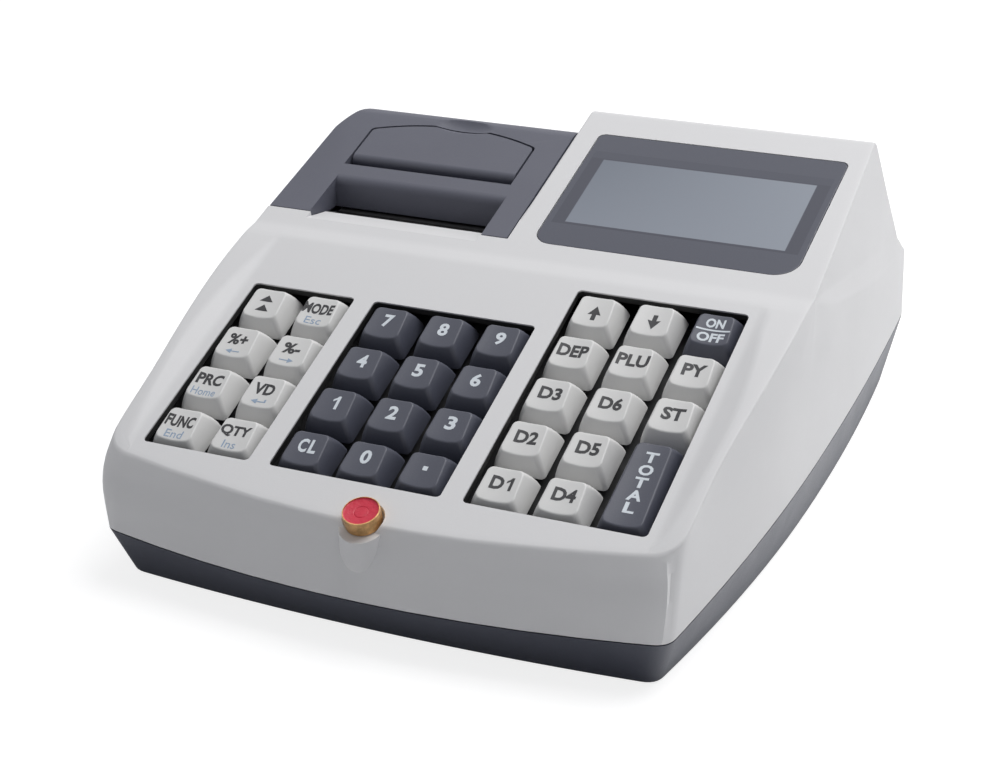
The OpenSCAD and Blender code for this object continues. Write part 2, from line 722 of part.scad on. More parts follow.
// The ear stands inside the printer cover and isn't cut away with the cover's space
module ear_keep() {
    on_hood() translate([ear_x, hinge_s - ear_len, -hinge_r - ear_h + ear_r]) cube([ear_t, ear_len, ear_h]);
    on_hood() translate([0, hinge_s, -hinge_r]) rod(ear_x, ear_x + ear_t, ear_r);
}

module seal_boss_shell() {
    intersection() {
        seal_boss();
        above_parting(parting_gap);
    }
}

/* Lower case */
board_x = -29;                      // centre of the main board
board_back = 10;                    // main board from the back
board_y = back_y - board_back - board_d;
board_post_r = 3;                   // radius of the posts under the main board
board_post_in = 6;                  // these posts from the board's front and side edges
board_post_back = 20;               // these posts from the board's rear edge
board_posts = [for (x = [-1, 1], y = [board_post_in, board_d - board_post_back])
    [board_x + x * (board_w / 2 - board_post_in), board_y + y]];
battery_x = 52;                     // centre of the battery pack
battery_back = 30;                  // battery pack from the back
battery_y = back_y - battery_back - battery_d;
battery_gap = 0.4;                  // play around the battery pack
battery_rim = battery_gap + 1.6;    // reach of the battery bay's walls around the pack
battery_wall_h = 12;                // height of those walls
door_margin = 3;                    // how far the battery door reaches past the pack
door_gap = 0.3;                     // gap around the battery door
door_z = foot_gap;                  // the battery door is flush with the bottom
// Rear sockets: centre from the middle of the case, width, height
SOCKETS = [[-60, 10, 9], [-38, 13.5, 11], [-14, 13.5, 11]];
socket_d = 13;                      // depth of a socket
socket_floor = 3;                   // thickness of the inner end of a socket
socket_wall = 1;                    // wall of a rectangular socket
socket_out = 7.5;                   // how far the sockets reach past the board's rear edge
jack_r = 2.8;                       // radius of the power socket
socket_gap = 0.4;                   // gap around a socket in the back wall
socket_room = 8;                    // how far the sockets' cut reaches in past the back wall
socket_z = board_z + board_t;

module lower_bosses() {
    intersection() {
        tub_form(wall / 2, foot_gap);
        for (b = BOSSES) translate([b[0], b[1], foot_gap]) cylinder(r = boss_r, h = far / 4);
    }
    // Tower under the seal screw
    intersection() {
        tub_form(wall / 2);
        on_deck() translate([0, -seal_ahead, -far / 8]) cylinder(r = boss_r, h = far / 8 - seal_sunk - tower_gap);
    }
}

tower_gap = 12;                     // distance of the tower's top below the seal cup
head_h = 2.4;                       // height of a screw head
head_sink = 5;                      // how deep the heads lie in the lower case
feet_front_in = 28;                 // rubber feet from the front
feet_back_in = 20;                  // rubber feet from the back
feet_side_in = 27;                  // rubber feet from the sides
FEET = [for (x = [-1, 1], y = [front_y + feet_front_in, back_y - feet_back_in])
    [x * (half_w - feet_side_in), y]];

module lower_case() {
    color(dark_grey) difference() {
        union() {
            difference() {
                tub_form();
                tub_form(wall, foot_gap + wall);
                above_parting(0);
            }
            difference() {
                lower_bosses();
                above_parting(0);
            }
            for (p = board_posts) translate([p[0], p[1], foot_gap + wall / 2])
                cylinder(r = board_post_r, h = board_z - foot_gap - wall / 2);
            // walls of the battery bay
            translate([battery_x - battery_w / 2 - battery_rim, battery_y - battery_rim, foot_gap + wall / 2])
                cube([battery_w + 2 * battery_rim, battery_d + 2 * battery_rim, battery_wall_h]);
        }
        // inside of the battery bay, open at the bottom
        translate([battery_x - battery_w / 2 - battery_gap, battery_y - battery_gap, -far / 8])
            cube([battery_w + 2 * battery_gap, battery_d + 2 * battery_gap, far / 4]);
        battery_door_space(door_gap);
        // sockets in the back wall
        for (s = SOCKETS)
            translate([s[0] - s[1] / 2 - socket_gap, back_y - wall - socket_room, socket_z - socket_gap])
                cube([s[1] + 2 * socket_gap, far / 8, s[2] + 2 * socket_gap]);
        // screw holes and their counterbores
        for (b = BOSSES) translate([b[0], b[1], -1]) {
            cylinder(r = screw_r + screw_fit, h = far / 8);
            cylinder(r = head_r + head_fit, h = foot_gap + head_sink + 1);
        }
        on_deck() translate([0, -seal_ahead, -seal_sunk - seal_screw_len - 1])
            cylinder(r = screw_r + screw_fit, h = seal_screw_len);
        for (f = FEET) translate([f[0], f[1], 0]) cylinder(r = foot_r + seat, h = foot_gap + foot_seat);
    }
}

module battery_door_space(c) {
    translate([battery_x - battery_w / 2 - door_margin - c, battery_y - door_margin - c, door_z - 1 - c])
        cube([battery_w + 2 * door_margin + 2 * c, battery_d + 2 * door_margin + 2 * c, door_t + 1 + c]);
}

module battery_door() {
    color(dark_grey) {
        translate([battery_x - battery_w / 2 - door_margin, battery_y - door_margin, door_z])
            cube([battery_w + 2 * door_margin, battery_d + 2 * door_margin, door_t - seat]);
    }
}

module battery_pack() {
    color([0.2, 0.35, 0.6]) translate([battery_x - battery_w / 2, battery_y, door_z + door_t + seat])
        cube([battery_w, battery_d, battery_h]);
}

module rubber_feet() {
    color([0.12, 0.12, 0.13]) for (f = FEET) translate([f[0], f[1], 0])
        cylinder(r = foot_r, h = foot_gap + foot_seat - seat);
}

module case_screws() {
    color([0.7, 0.7, 0.72]) {
        for (b = BOSSES) translate([b[0], b[1], foot_gap + head_sink - head_h]) {
            cylinder(r = head_r, h = head_h);
            cylinder(r = screw_r, h = parting_z(b[1]) + screw_top - foot_gap - head_sink + head_h);
        }
        on_deck() translate([0, -seal_ahead, -seal_sunk - seal_screw_len]) {
            cylinder(r = screw_r, h = seal_screw_len);
            translate([0, 0, seal_screw_len + seal_floor + seat]) cylinder(r = head_r, h = seal_head_h);
            cylinder(r = screw_r, h = seal_screw_len + seal_floor + 1);
        }
    }
}
seal_floor = 0.6;                   // thickness of the seal cup's floor
seal_wall = 0.6;                    // wall of the seal cup
seal_head_h = 1.4;                  // height of the head of the screw in the cup
wax_low = 0.6;                      // depth of the wax below the cup's rim
wax_over = 0.2;                     // gap between the wax and that head

module seal_cup() {
    color([0.83, 0.64, 0.35]) on_deck() translate([0, -seal_ahead, -seal_sunk]) difference() {
        cylinder(r = seal_r, h = seal_h);
        translate([0, 0, seal_floor]) cylinder(r = seal_r - seal_wall, h = seal_h);
        translate([0, 0, -1]) cylinder(r = screw_r + 0.1, h = seal_h);
    }
}

module seal_wax() {
    depth = seal_h - seal_floor - wax_low;
    color([0.8, 0.1, 0.2]) on_deck() translate([0, -seal_ahead, -seal_sunk + seal_floor]) difference() {
        cylinder(r = seal_r - seal_wall - seat / 2, h = depth);
        translate([0, 0, -1]) cylinder(r = head_r + seat, h = 1 + seat + seal_head_h + wax_over);
    }
}

/* Display */
module display_lens() {
    color([0.35, 0.37, 0.42]) on_hood() translate([lens_x, lens_s, -lens_t + seat / 2])
        round_plate(lens_w, lens_h, lens_t - seat / 2, lens_r);
}

module display_panel() {
    color([0.5, 0.54, 0.58]) on_hood()
        translate([lens_x - screen_w / 2 - module_margin, screen_s - module_margin, -lens_t - module_t - seat])
            cube([screen_w + 2 * module_margin, screen_h + 2 * module_margin, module_t]);
}

/* Key guide, mat and board */
guide_front = -5;                   // front edge of the guide from the datum line
guide_half_w = half_w - 10.2;       // half width of the guide
guide_rear = 92;                    // rear edge of the guide from the datum line
module guide_plate(t, grow = 0) {
    translate([-guide_half_w - grow, guide_front - grow, -t])
        cube([2 * (guide_half_w + grow), guide_rear - guide_front + 2 * grow, t]);
}

leg_in = 4;                         // distance of the guide's legs from its posts
module key_guide() {
    color([0.75, 0.75, 0.72]) on_deck() difference() {
        union() {
            translate([0, 0, -guide_depth]) guide_plate(guide_t);
            for (k = KEYS) at_key(k) translate([0, 0, -guide_depth - guide_t])
                cylinder(r = plunger_r + sleeve_wall, h = guide_depth + guide_t - sleeve_top);
            for (x = post_x, y = post_y) translate([x, y + leg_in + 2, -mat_depth - mat_t + seat])
                cylinder(r = post_r, h = mat_depth + mat_t - guide_depth - seat);
        }
        for (k = KEYS) at_key(k) translate([0, 0, -far / 8])
            cylinder(r = plunger_r + plunger_fit, h = far / 8);
    }
}

dome_r = 4.6;                       // radius of a dome of the key mat
dome_wall = 0.7;                    // wall of a dome
dome_gap = 0.2;                     // gap between a dome and its key's plunger
mat_gap = 0.3;                      // play of the mat around the guide's legs
module key_mat() {
    color([0.55, 0.55, 0.5]) on_deck() difference() {
        union() {
            translate([0, 0, -mat_depth]) guide_plate(mat_t);
            for (k = KEYS) at_key(k) translate([0, 0, -mat_depth - eps])
                cylinder(r1 = dome_r, r2 = plunger_r, h = mat_depth - plunger_depth - dome_gap);
        }
        for (k = KEYS) at_key(k) translate([0, 0, -mat_depth - mat_t - 1])
            cylinder(r1 = dome_r, r2 = plunger_r - 1,
                h = mat_depth + mat_t + 1 - plunger_depth - dome_gap - dome_wall);
        for (x = post_x, y = post_y) translate([x, y + leg_in + 2, -far / 8])
            cylinder(r = post_r + mat_gap, h = far / 8);
    }
}

module key_board() {
    color([0.1, 0.4, 0.2]) on_deck() translate([0, 0, -mat_depth - mat_t]) guide_plate(board_t);
}

/* Main board */
// Square parts: place of the corner from the middle of the board's front edge, width, depth, height
CHIPS = [[-20, 30, 14, 14, 1.6],    // processor
    [6, 30, 10, 14, 1.4],           // working memory
    [20, 52, 18, 24, 2.6],          // radio can
    [-38, 10, 30, 5, 6]];           // plug for the key board
// Round parts: place, radius, height
CANS = [[-36, 66, 4, 11],           // capacitors
    [-26, 66, 4, 11],
    [-8, 60, 5, 3]];                // coin cell
module main_board() {
    color([0.1, 0.4, 0.2]) {
        translate([board_x - board_w / 2, board_y, board_z + seat]) cube([board_w, board_d, board_t - seat]);
        translate([board_x, board_y, board_z + board_t - eps]) {
            for (c = CHIPS) translate([c[0], c[1], 0]) cube([c[2], c[3], c[4]]);
            for (c = CANS) translate([c[0], c[1], 0]) cylinder(r = c[2], h = c[3]);
        }
    }
}

memory_x = -48;                     // centre of the fiscal memory
memory_gap = 6;                     // distance of the fiscal memory ahead of the main board
module fiscal_memory() {
    color([0.15, 0.15, 0.16])
        translate([memory_x - memory_w / 2, board_y - memory_gap - memory_d, foot_gap + wall + seat])
            cube([memory_w, memory_d, memory_h]);
}

module rear_sockets() {
    color([0.1, 0.1, 0.1]) for (s = SOCKETS)
        translate([s[0], back_y - board_back - socket_d + socket_out, socket_z]) difference() {
            translate([-s[1] / 2, 0, seat / 2]) cube([s[1], socket_d, s[2]]);
            if (s == SOCKETS[0]) {
                translate([0, socket_floor, s[2] / 2]) rotate([-90, 0, 0]) cylinder(r = jack_r, h = socket_d);
            } else {
                translate([-s[1] / 2 + socket_wall, socket_floor, socket_wall])
                    cube([s[1] - 2 * socket_wall, socket_d, s[2] - 2 * socket_wall]);
            }
        }
}

/* Printer cover and lever */
web_gap = 0.4;                      // gap between the ear and the cover around it
pin_short = 0.4;                    // how much shorter the hinge pins are than their bores
web_t = 2.2;                        // thickness of the web that carries the left pin
roll_end = 20;                      // where the rolled edge ends below the axis, in degrees

module cover_form() {
    on_hood() translate([-far / 2, cover_front, -cover_drop])
        cube([far / 2 + cover_right, hinge_s - cover_front, cover_drop]);
    on_hood() translate([0, hinge_s, -hinge_r]) rod(-far / 2, cover_right, hinge_r);
}

module cover_hollow() {
    intersection() {
        upper_form(cover_wall);
        union() {
            on_hood() translate([-far / 2, cover_front + cover_wall, -far / 8])
                cube([far / 2 + cover_right - cover_wall, hinge_s - cover_front - cover_wall + 1,
                    far / 8 - cover_wall]);
            on_hood() translate([0, hinge_s, -hinge_r]) {
                rod(-far / 2, cover_right - cover_wall, hinge_r - cover_wall);
                // the rolled edge stops below the axis
                translate([-far / 2, -hinge_r - 1, -2 * hinge_r])
                    cube([far / 2 + cover_right - cover_wall, 2 * hinge_r + 2,
                        2 * hinge_r - hinge_r * sin(roll_end)]);
            }
        }
    }
}

// The left web stands inside the cover, beside the ear
module cover_web() {
    x = ear_x + ear_t + web_gap;
    intersection() {
        cover_form();
        on_hood() translate([x, hinge_s - hinge_r - 4, -2 * hinge_r]) cube([web_t, 2 * hinge_r + 4, 2 * hinge_r]);
    }
}

module exit_space() {
    translate([exit_left, hood_y - 20, exit_floor_z - 20])
        cube([exit_right - exit_left, exit_back_y - hood_y + 20, far / 8]);
}
exit_back_y = hood_y + exit_back * cos(hood_tilt);
exit_wall = 1.8;                    // wall of the ticket exit

module exit_walls() {
    intersection() {
        cover_form_deep();
        translate([exit_left - exit_wall, hood_y - 20, exit_floor_z])
            cube([exit_right - exit_left + 2 * exit_wall, exit_back_y - hood_y + 20 + exit_wall, far / 8]);
    }
}

module cover_form_deep() {
    on_hood() translate([-far / 2, cover_front, -far / 10])
        cube([far / 2 + cover_right, hinge_s - cover_front, far / 10]);
}

// Plan of the lever: straight front and sides, round rear edge; grown by a gap
module lever_plan(front, grow) {
    x0 = lever_left - grow;
    x1 = lever_right + grow;
    intersection() {
        translate([x0, front]) square([x1 - x0, lever_rear + grow - front]);
        translate([(lever_left + lever_right) / 2, lever_rear - lever_arc_r])
            circle(r = lever_arc_r + grow, $fn = 180);
    }
}

module lever_well() {
    on_hood() translate([0, 0, -well_depth]) linear_extrude(far / 20) lever_plan(well_front, lever_gap);
}

module well_walls() {
    intersection() {
        on_hood() translate([0, 0, -well_depth - well_floor]) linear_extrude(well_depth + well_floor)
            lever_plan(well_front - well_wall, lever_gap + well_wall);
        union() {
            cover_form_deep();
            cover_form();
        }
    }
}

well_wall = 1.8;                    // wall of the lever well
well_floor = 1.2;                   // floor of the lever well

// Finger dish at the rear of the lever
dish_r = 18;                        // radius of the finger dish
dish_deep = 1.4;                    // depth of the finger dish
dish_s = 70;                        // distance of the dish from the start of the hood's face
module finger_dish() {
    on_hood() translate([(lever_left + lever_right) / 2, dish_s, dish_r - dish_deep])
        sphere(r = dish_r, $fn = 96);
}

lever_axis_s = lever_front + lever_roll_r;
lever_pin_r = 1.1;                  // radius of the lever's pins
lever_pin_len = 1.1;                // how far the lever's pins reach into the well's walls
rib_t = 1.2;                        // thickness of the lever's ribs
rib_h = 1.6;                        // height of the lever's ribs
rib_len = 14;                       // length of the lever's ribs
rib_in = 4.6;                       // outer ribs from the lever's sides
module printer_cover() {
    color(dark_grey) difference() {
        intersection() {
            upper_form();
            union() {
                difference() {
                    cover_form();
                    cover_hollow();
                }
                cover_web();
                exit_walls();
                well_walls();
            }
        }
        exit_space();
        lever_well();
        finger_dish();
        // slot for the ear
        on_hood() translate([ear_x - web_gap, cover_front + cover_wall, -far / 8])
            cube([ear_t + 2 * web_gap, hinge_s - cover_front - cover_wall, far / 8 - cover_wall]);
        on_hood() translate([0, hinge_s, -hinge_r])
            rod(ear_x - web_gap, ear_x + ear_t + web_gap, hinge_r - cover_wall);
        on_hood() translate([0, lever_axis_s, -lever_roll_r])
            rod(lever_left - lever_gap - lever_pin_len - 0.1, lever_right + lever_gap + lever_pin_len + 0.1,
                lever_pin_r + pin_fit);
    }
    // hinge pins
    color(dark_grey) on_hood() translate([0, hinge_s, -hinge_r]) {
        rod(ear_x + pin_short, ear_x + ear_t + web_gap + eps, pin_r);
        rod(cover_right - eps, seam_x + wall - pin_short, pin_r);
    }
}

module cover_lever() {
    color([0.42, 0.43, 0.48]) difference() {
        union() {
            intersection() {
                on_hood() translate([0, 0, -lever_t]) linear_extrude(lever_t) lever_plan(lever_axis_s, 0);
                cover_form();
            }
            on_hood() translate([0, lever_axis_s, -lever_roll_r]) {
                rod(lever_left, lever_right, lever_roll_r);
                rod(lever_left - lever_gap - lever_pin_len, lever_right + lever_gap + lever_pin_len, lever_pin_r);
            }
            // stiffening ribs
            for (x = [lever_left + rib_in, (lever_left + lever_right) / 2, lever_right - rib_in]) on_hood()
                translate([x - rib_t / 2, lever_axis_s, -lever_t - rib_h]) cube([rib_t, rib_len, rib_h + eps]);
        }
        finger_dish();
    }
}

/* Printer mechanism */
platen_y = hood_y + platen_back;
side_play = 1;                      // distance of the platen from the side plates
// Inner faces of the side plates
frame_l = (exit_left + exit_right) / 2 - platen_len / 2 - side_play;
frame_r = (exit_left + exit_right) / 2 + platen_len / 2 + side_play;
bay_y = platen_y + bay_back;
plate_z0 = platen_z - 33.5;         // bottom of the side plates
plate_z1 = platen_z + 6;            // top of the side plates
plate_ahead = 11;                   // reach of the side plates ahead of the platen's axis
plate_d = 19;                       // depth of the side plates
arm_h = 16;                         // height of the arms between the side plates and the paper bay
arm_low = 12;                       // reach of the arms below the bay's axis
arm_from = 2;                       // start of the arms behind the platen's axis
leg_ahead = 9;                      // reach of the legs ahead of the platen's axis
leg_d = 10;                         // depth of the legs
leg_lap = 6;                        // how far the legs reach up along the side plates
chute_d = 8.6;                      // depth of the floor behind the paper slot
chute_t = 1.6;                      // thickness of that floor
chute_from = -1;                    // start of that floor behind the platen's axis
apron_t = 1.4;                      // thickness of the wall below that floor
apron_h = 6.5;                      // height of that wall
beam_t = 1.6;                       // thickness of the beam that carries the print head
beam_h = 16;                        // height of that beam
beam_low = 22;                      // bottom of that beam below the top of the side plates
bay_open_ends = 8;                  // height above the bay's axis at which its ends stop
bay_open = 2;                       // height above the bay's axis at which its round wall stops
heater_t = 2.1;                     // thickness of the print head
heater_h = 16;                      // height of the print head
heater_low = 12;                    // bottom of the print head below the platen's axis
heater_gap = 0.3;                   // gap between the print head and the platen
tear_t = 1.2;                       // thickness of the tear bar
tear_low = 8;                       // bottom of the tear bar below the platen's axis
tear_gap = 0.4;                     // gap between the tear bar and the print head
tear_up = 6.1;                      // foot of the tear bar's teeth above the platen's axis
tooth_w = 2;                        // width of the tear bar's teeth
tooth_h = 1.2;                      // height of the tear bar's teeth
// Teeth of the gears, and their place under the platen
z_platen = 24;
z_idler = 32;
z_pinion = 16;
train_lean = 10;                    // lean of the gear train towards the front, in degrees
idler_reach = (z_platen + z_idler) * gear_mod / 2;
pinion_reach = idler_reach + (z_idler + z_pinion) * gear_mod / 2;
function train(reach) = [platen_y - reach * sin(train_lean), platen_z - reach * cos(train_lean)];
idler_at = train(idler_reach);
motor_at = train(pinion_reach);
gear_gap = 0.6;                     // gap between the gears and the side plate
shaft_end = 0.6;                    // how far a shaft's end stands out
gear_x = frame_l - plate_t - gear_gap - gear_w;

module printer_frame() {
    color([0.2, 0.2, 0.21]) difference() {
        union() {
            // side plates, with arms to the paper bay
            for (x = [frame_l - plate_t, frame_r]) {
                translate([x, platen_y - plate_ahead, plate_z0]) cube([plate_t, plate_d, plate_z1 - plate_z0]);
                translate([x, bay_y, bay_z]) rod(0, plate_t, bay_r + bay_wall);
                translate([x, platen_y + arm_from, bay_z - arm_low]) cube([plate_t, bay_back, arm_h]);
            }
            // paper bay
            translate([0, bay_y, bay_z]) rod(frame_l, frame_r, bay_r + bay_wall);
            // floor behind the paper slot, with a wall below its rear edge
            translate([frame_l - eps, platen_y + chute_from, plate_z1 - eps])
                cube([frame_r - frame_l + 2 * eps, chute_d, chute_t]);
            translate([frame_l - eps, platen_y + chute_from + chute_d - apron_t, plate_z1 - apron_h + chute_t / 2])
                cube([frame_r - frame_l + 2 * eps, apron_t, apron_h]);
            // beam that carries the print head
            translate([frame_l, platen_y - plate_ahead, plate_z1 - beam_low])
                cube([frame_r - frame_l, beam_t, beam_h]);
            // legs down to the floor of the lower case
            for (x = [frame_l - plate_t, frame_r])
                translate([x, platen_y - leg_ahead, foot_gap + wall + seat])
                    cube([plate_t, leg_d, plate_z0 + leg_lap - foot_gap - wall]);
        }
        translate([0, bay_y, bay_z]) rod(frame_l, frame_r, bay_r);
        // open top of the paper bay
        translate([frame_l - plate_t - 1, bay_y - bay_r, bay_z + bay_open_ends])
            cube([frame_r - frame_l + 2 * plate_t + 2, 3 * bay_r, far / 8]);
        translate([frame_l, bay_y - bay_r, bay_z + bay_open]) cube([frame_r - frame_l, 2 * bay_r, far / 8]);
        // bores of the shafts
        translate([0, platen_y, platen_z]) rod(frame_l - plate_t - 1, frame_r + plate_t + 1, shaft_r + pin_fit);
        translate([0, idler_at[0], idler_at[1]]) rod(frame_l - plate_t - 1, frame_l + 1, shaft_r + pin_fit);
        translate([0, motor_at[0], motor_at[1]]) rod(frame_l - plate_t - 1, frame_l + 1, shaft_r + 1);
    }
}

// Print head: a heater bar on a sloping plate, pressed against the platen's front
module print_head() {
    color([0.6, 0.6, 0.62])
        translate([frame_l + side_play, platen_y - platen_r - heater_gap - heater_t, platen_z - heater_low])
            cube([platen_len, heater_t, heater_h]);
}

module tear_bar() {
    teeth = floor(platen_len / tooth_w) - 1;
    front = platen_y - platen_r - heater_gap - heater_t - tear_gap - tear_t;
    color([0.7, 0.7, 0.72]) {
        translate([frame_l + side_play, front, platen_z - tear_low]) cube([platen_len, tear_t, tear_low + tear_up]);
        for (k = [0:teeth - 1])
            translate([frame_l + side_play + tooth_w * (k + 0.5), front + tear_t, platen_z + tear_up - eps])
                rotate([90, 0, 0]) linear_extrude(tear_t) polygon([[0, 0], [tooth_w, 0], [tooth_w / 2, tooth_h]]);
    }
}

module platen_roller() {
    color([0.1, 0.1, 0.1]) translate([0, platen_y, platen_z]) {
        rod(frame_l + side_play, frame_r - side_play, platen_r);
        rod(gear_x - shaft_end, frame_r + plate_t, shaft_r);
    }
}

// Spur gear outline: involute flanks, a tooth centred on +x
function involute(rb, a) = [rb * (cos(a) + a * PI / 180 * sin(a)), rb * (sin(a) - a * PI / 180 * cos(a))];
function turn(p, a) = [p[0] * cos(a) - p[1] * sin(a), p[0] * sin(a) + p[1] * cos(a)];
pressure = 20;                      // pressure angle, in degrees
backlash = 0.06;                    // play between teeth, at the pitch circle
flank_steps = 3;                    // straight pieces along a tooth's flank
module gear_outline(z) {
    rp = z * gear_mod / 2;
    rb = rp * cos(pressure);
    ra = rp + 0.9 * gear_mod;
    root = rp - 1.2 * gear_mod;
    tip_a = acos(rb / ra);
    reach = tan(tip_a) * 180 / PI;
    half = 90 / z - backlash / 2 / rp * 180 / PI + (tan(pressure) * 180 / PI - pressure);
    low = [for (k = [0:flank_steps]) turn(involute(rb, reach * k / flank_steps), -half)];
    teeth = [for (t = [0:z - 1]) let (a = 360 * t / z) concat(
        [turn([root, 0], a - half)],
        [for (p = low) turn(p, a)],
        [for (k = [flank_steps:-1:0]) turn([low[k][0], -low[k][1]], a)],
        [turn([root, 0], a + half)])];
    polygon([for (t = teeth) each t]);
}

module gear(z, at, phase, bore) {
    translate([gear_x, at[0], at[1]]) rotate([90, 0, 90]) rotate(phase) linear_extrude(gear_w) difference() {
        gear_outline(z);
        if (bore > 0) circle(bore);
    }
}

// Direction of the train, from the platen down to the motor
train_a = -90 - train_lean;
module platen_gear() {
    color([0.9, 0.9, 0.88]) gear(z_platen, [platen_y, platen_z], train_a, shaft_r + seat / 2);
}

module idler_gear() {
    color([0.9, 0.9, 0.88]) {
        gear(z_idler, idler_at, train_a + 180 + 180 / z_idler, 0);
        translate([0, idler_at[0], idler_at[1]]) rod(gear_x, frame_l - shaft_end / 2, shaft_r);
    }
}

module motor_pinion() {
    color([0.8, 0.7, 0.4]) {
        gear(z_pinion, motor_at, train_a, 0);
        translate([0, motor_at[0], motor_at[1]]) rod(gear_x, frame_l + shaft_end, shaft_r);
    }
}

module stepper_motor() {
    color([0.65, 0.65, 0.67]) translate([0, motor_at[0], motor_at[1]]) difference() {
        rod(frame_l + seat, frame_l + seat + motor_len, motor_r);
        rod(frame_l - 1, frame_l + 2, shaft_r + seat);
    }
}

upper_case();
lower_case();
printer_cover();
cover_lever();
display_lens();
display_panel();
key_guide();
key_mat();
key_board();
main_board();
fiscal_memory();
battery_pack();
battery_door();
printer_frame();
print_head();
tear_bar();
platen_roller();
platen_gear();
idler_gear();
motor_pinion();
stepper_motor();
rear_sockets();
rubber_feet();
case_screws();
seal_cup();
seal_wax();
for (k = KEYS) keycap(k);
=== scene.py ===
"""Looks of the portable ticket register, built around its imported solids.

Lengths are in mm up to finish_piece.
"""

import json
import math
from bisect import bisect_right

import bmesh
import bpy
from mathutils import Matrix, Vector


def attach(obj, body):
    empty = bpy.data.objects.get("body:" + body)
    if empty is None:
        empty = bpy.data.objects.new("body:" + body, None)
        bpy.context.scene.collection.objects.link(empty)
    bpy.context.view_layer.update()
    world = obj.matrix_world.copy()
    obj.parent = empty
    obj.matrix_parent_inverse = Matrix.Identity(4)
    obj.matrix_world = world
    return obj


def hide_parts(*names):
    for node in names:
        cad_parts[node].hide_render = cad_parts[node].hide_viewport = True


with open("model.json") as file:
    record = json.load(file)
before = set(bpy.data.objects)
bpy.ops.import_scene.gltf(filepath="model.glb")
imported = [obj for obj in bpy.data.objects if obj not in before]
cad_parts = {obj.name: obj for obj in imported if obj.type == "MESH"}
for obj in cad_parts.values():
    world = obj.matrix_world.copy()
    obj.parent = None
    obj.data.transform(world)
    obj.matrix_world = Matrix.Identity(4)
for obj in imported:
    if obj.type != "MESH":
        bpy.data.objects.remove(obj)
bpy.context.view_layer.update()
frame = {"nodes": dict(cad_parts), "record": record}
MM = 0.001


def sin(degrees):
    return math.sin(math.radians(degrees))


def cos(degrees):
    return math.cos(math.radians(degrees))


def tan(degrees):
    return math.tan(math.radians(degrees))


def lerp(a, b, t):
    return a + (b - a) * t


def clamp(v, low=0.0, high=1.0):
    return max(low, min(high, v))


def smooth(v):
    v = clamp(v)
    return v * v * (3 - 2 * v)


def along(table, v):
    """Value at v of a line through (v, value) points."""
    i = clamp(bisect_right([p[0] for p in table], v), 1, len(table) - 1)
    (a, p), (b, q) = table[i - 1], table[i]
    return lerp(p, q, clamp((v - a) / (b - a)))


# ---- sizes, as in the part's source ----
FRONT_Y, BACK_Y = -134.5, 134.5
TUB_H, TOP_Z, WIDE_Y, WIDEST = 15.6, 110.0, -2.5, 97.15
PARTING_RISE, PARTING_GAP = 2.3, 0.4
WALL, ROOF = 2.4, 2.8
# Outlines: half widths at the front, the widest place and the back, then y of the front's corners
# and middle, and y of the back's corners and middle
PARTING = (90.3, WIDEST, 92.4, -123.7, -134.49, 132.0, 134.27)
TOP = (80.86, 95.7, 91.4, -101.99, -112.79, 124.0, 126.5)
BOTTOM = (85.2, 93.2, 86.8, -118.2, -122.6, 127.4, 129.9)
BOTTOM_Z = 2.0
DECK_Y, DECK_Z, DECK_TILT, DECK_LEN = -112.5, 44.7, 21.3, 96.0
PANEL_HALF, RAIL_CROWN, RAIL_SLOPE, RAIL_START = 83.5, 2.4, 21.0, -8.6
STRIP_LEN, STRIP_TILT = 7.0, 10.0
HOOD_TILT, HOOD_LEN, BACK_SLOPE, BACK_FOOT_Z, LEDGE_SLOPE = 18.5, 88.0, 49.0, 63.0, 28.6
SEAM_X, COVER_RIGHT, COVER_GAP = -8.0, -8.4, 0.4
COVER_FRONT, HINGE_S, HINGE_R, COVER_DROP = 9.5, 69.0, 11.0, 6.5
EXIT_LEFT, EXIT_RIGHT, EXIT_BACK, EXIT_FLOOR_Z = -80.7, -17.5, 29.3, 80.0
LEVER_LEFT, LEVER_RIGHT, LEVER_FRONT, LEVER_REAR, LEVER_ARC = -80.8, -19.6, 42.2, 66.4, 78.0
LENS_X, LENS_W, LENS_H, LENS_S, LENS_T = 43.9, 87.2, 63.6, 9.6, 1.6
SCREEN_W, SCREEN_H, SCREEN_S = 73.9, 36.4, 22.2
PITCH, ROW_FIRST = 19.05, 5.65
LEFT_BLOCK, MIDDLE_BLOCK, RIGHT_BLOCK = -62.0, -9.45, 52.65
CAP_W, CAP_D, CAP_TOP, CAP_H, CAP_PROUD = 16.4, 17.2, 11.9, 6.8, 0.4
SEAL_AHEAD, SEAL_R, SEAL_H, SEAL_PROUD, BOSS_R = 16.0, 5.8, 5.0, 3.0, 6.9
LENS_GAP, WINDOW_GAP = 0.25, 0.4
CORNER_X, CORNER_S, CORNER_W, CORNER_D, CORNER_DROP = -78.0, 50.0, 18.0, 31.0, 6.9
LIP_FRONT, LIP_LEN, LIP_T, LIP_FALL = 5.6, 14.0, 1.6, 8.0
EAR_IN, EAR_T, EAR_R, PIN_R = 3.2, 2.8, 4.0, 1.68

# Shares of a front half and of a side that a rounded corner takes, and the steps of its curve
CORNER_CUT, FRONT_HALF, SIDE_LEN = 4.4, 88.0, 250.0
Q_FRONT, Q_SIDE = CORNER_CUT / FRONT_HALF, CORNER_CUT / SIDE_LEN
SIXTHS = [k / 6 for k in range(1, 6)]
# Place of a cutter's side that lies beyond the case
BEYOND = 140
CREASE = (DECK_Y + DECK_LEN * cos(DECK_TILT), DECK_Z + DECK_LEN * sin(DECK_TILT))
HOOD = (CREASE[0] + STRIP_LEN * cos(STRIP_TILT), CREASE[1] + STRIP_LEN * sin(STRIP_TILT))


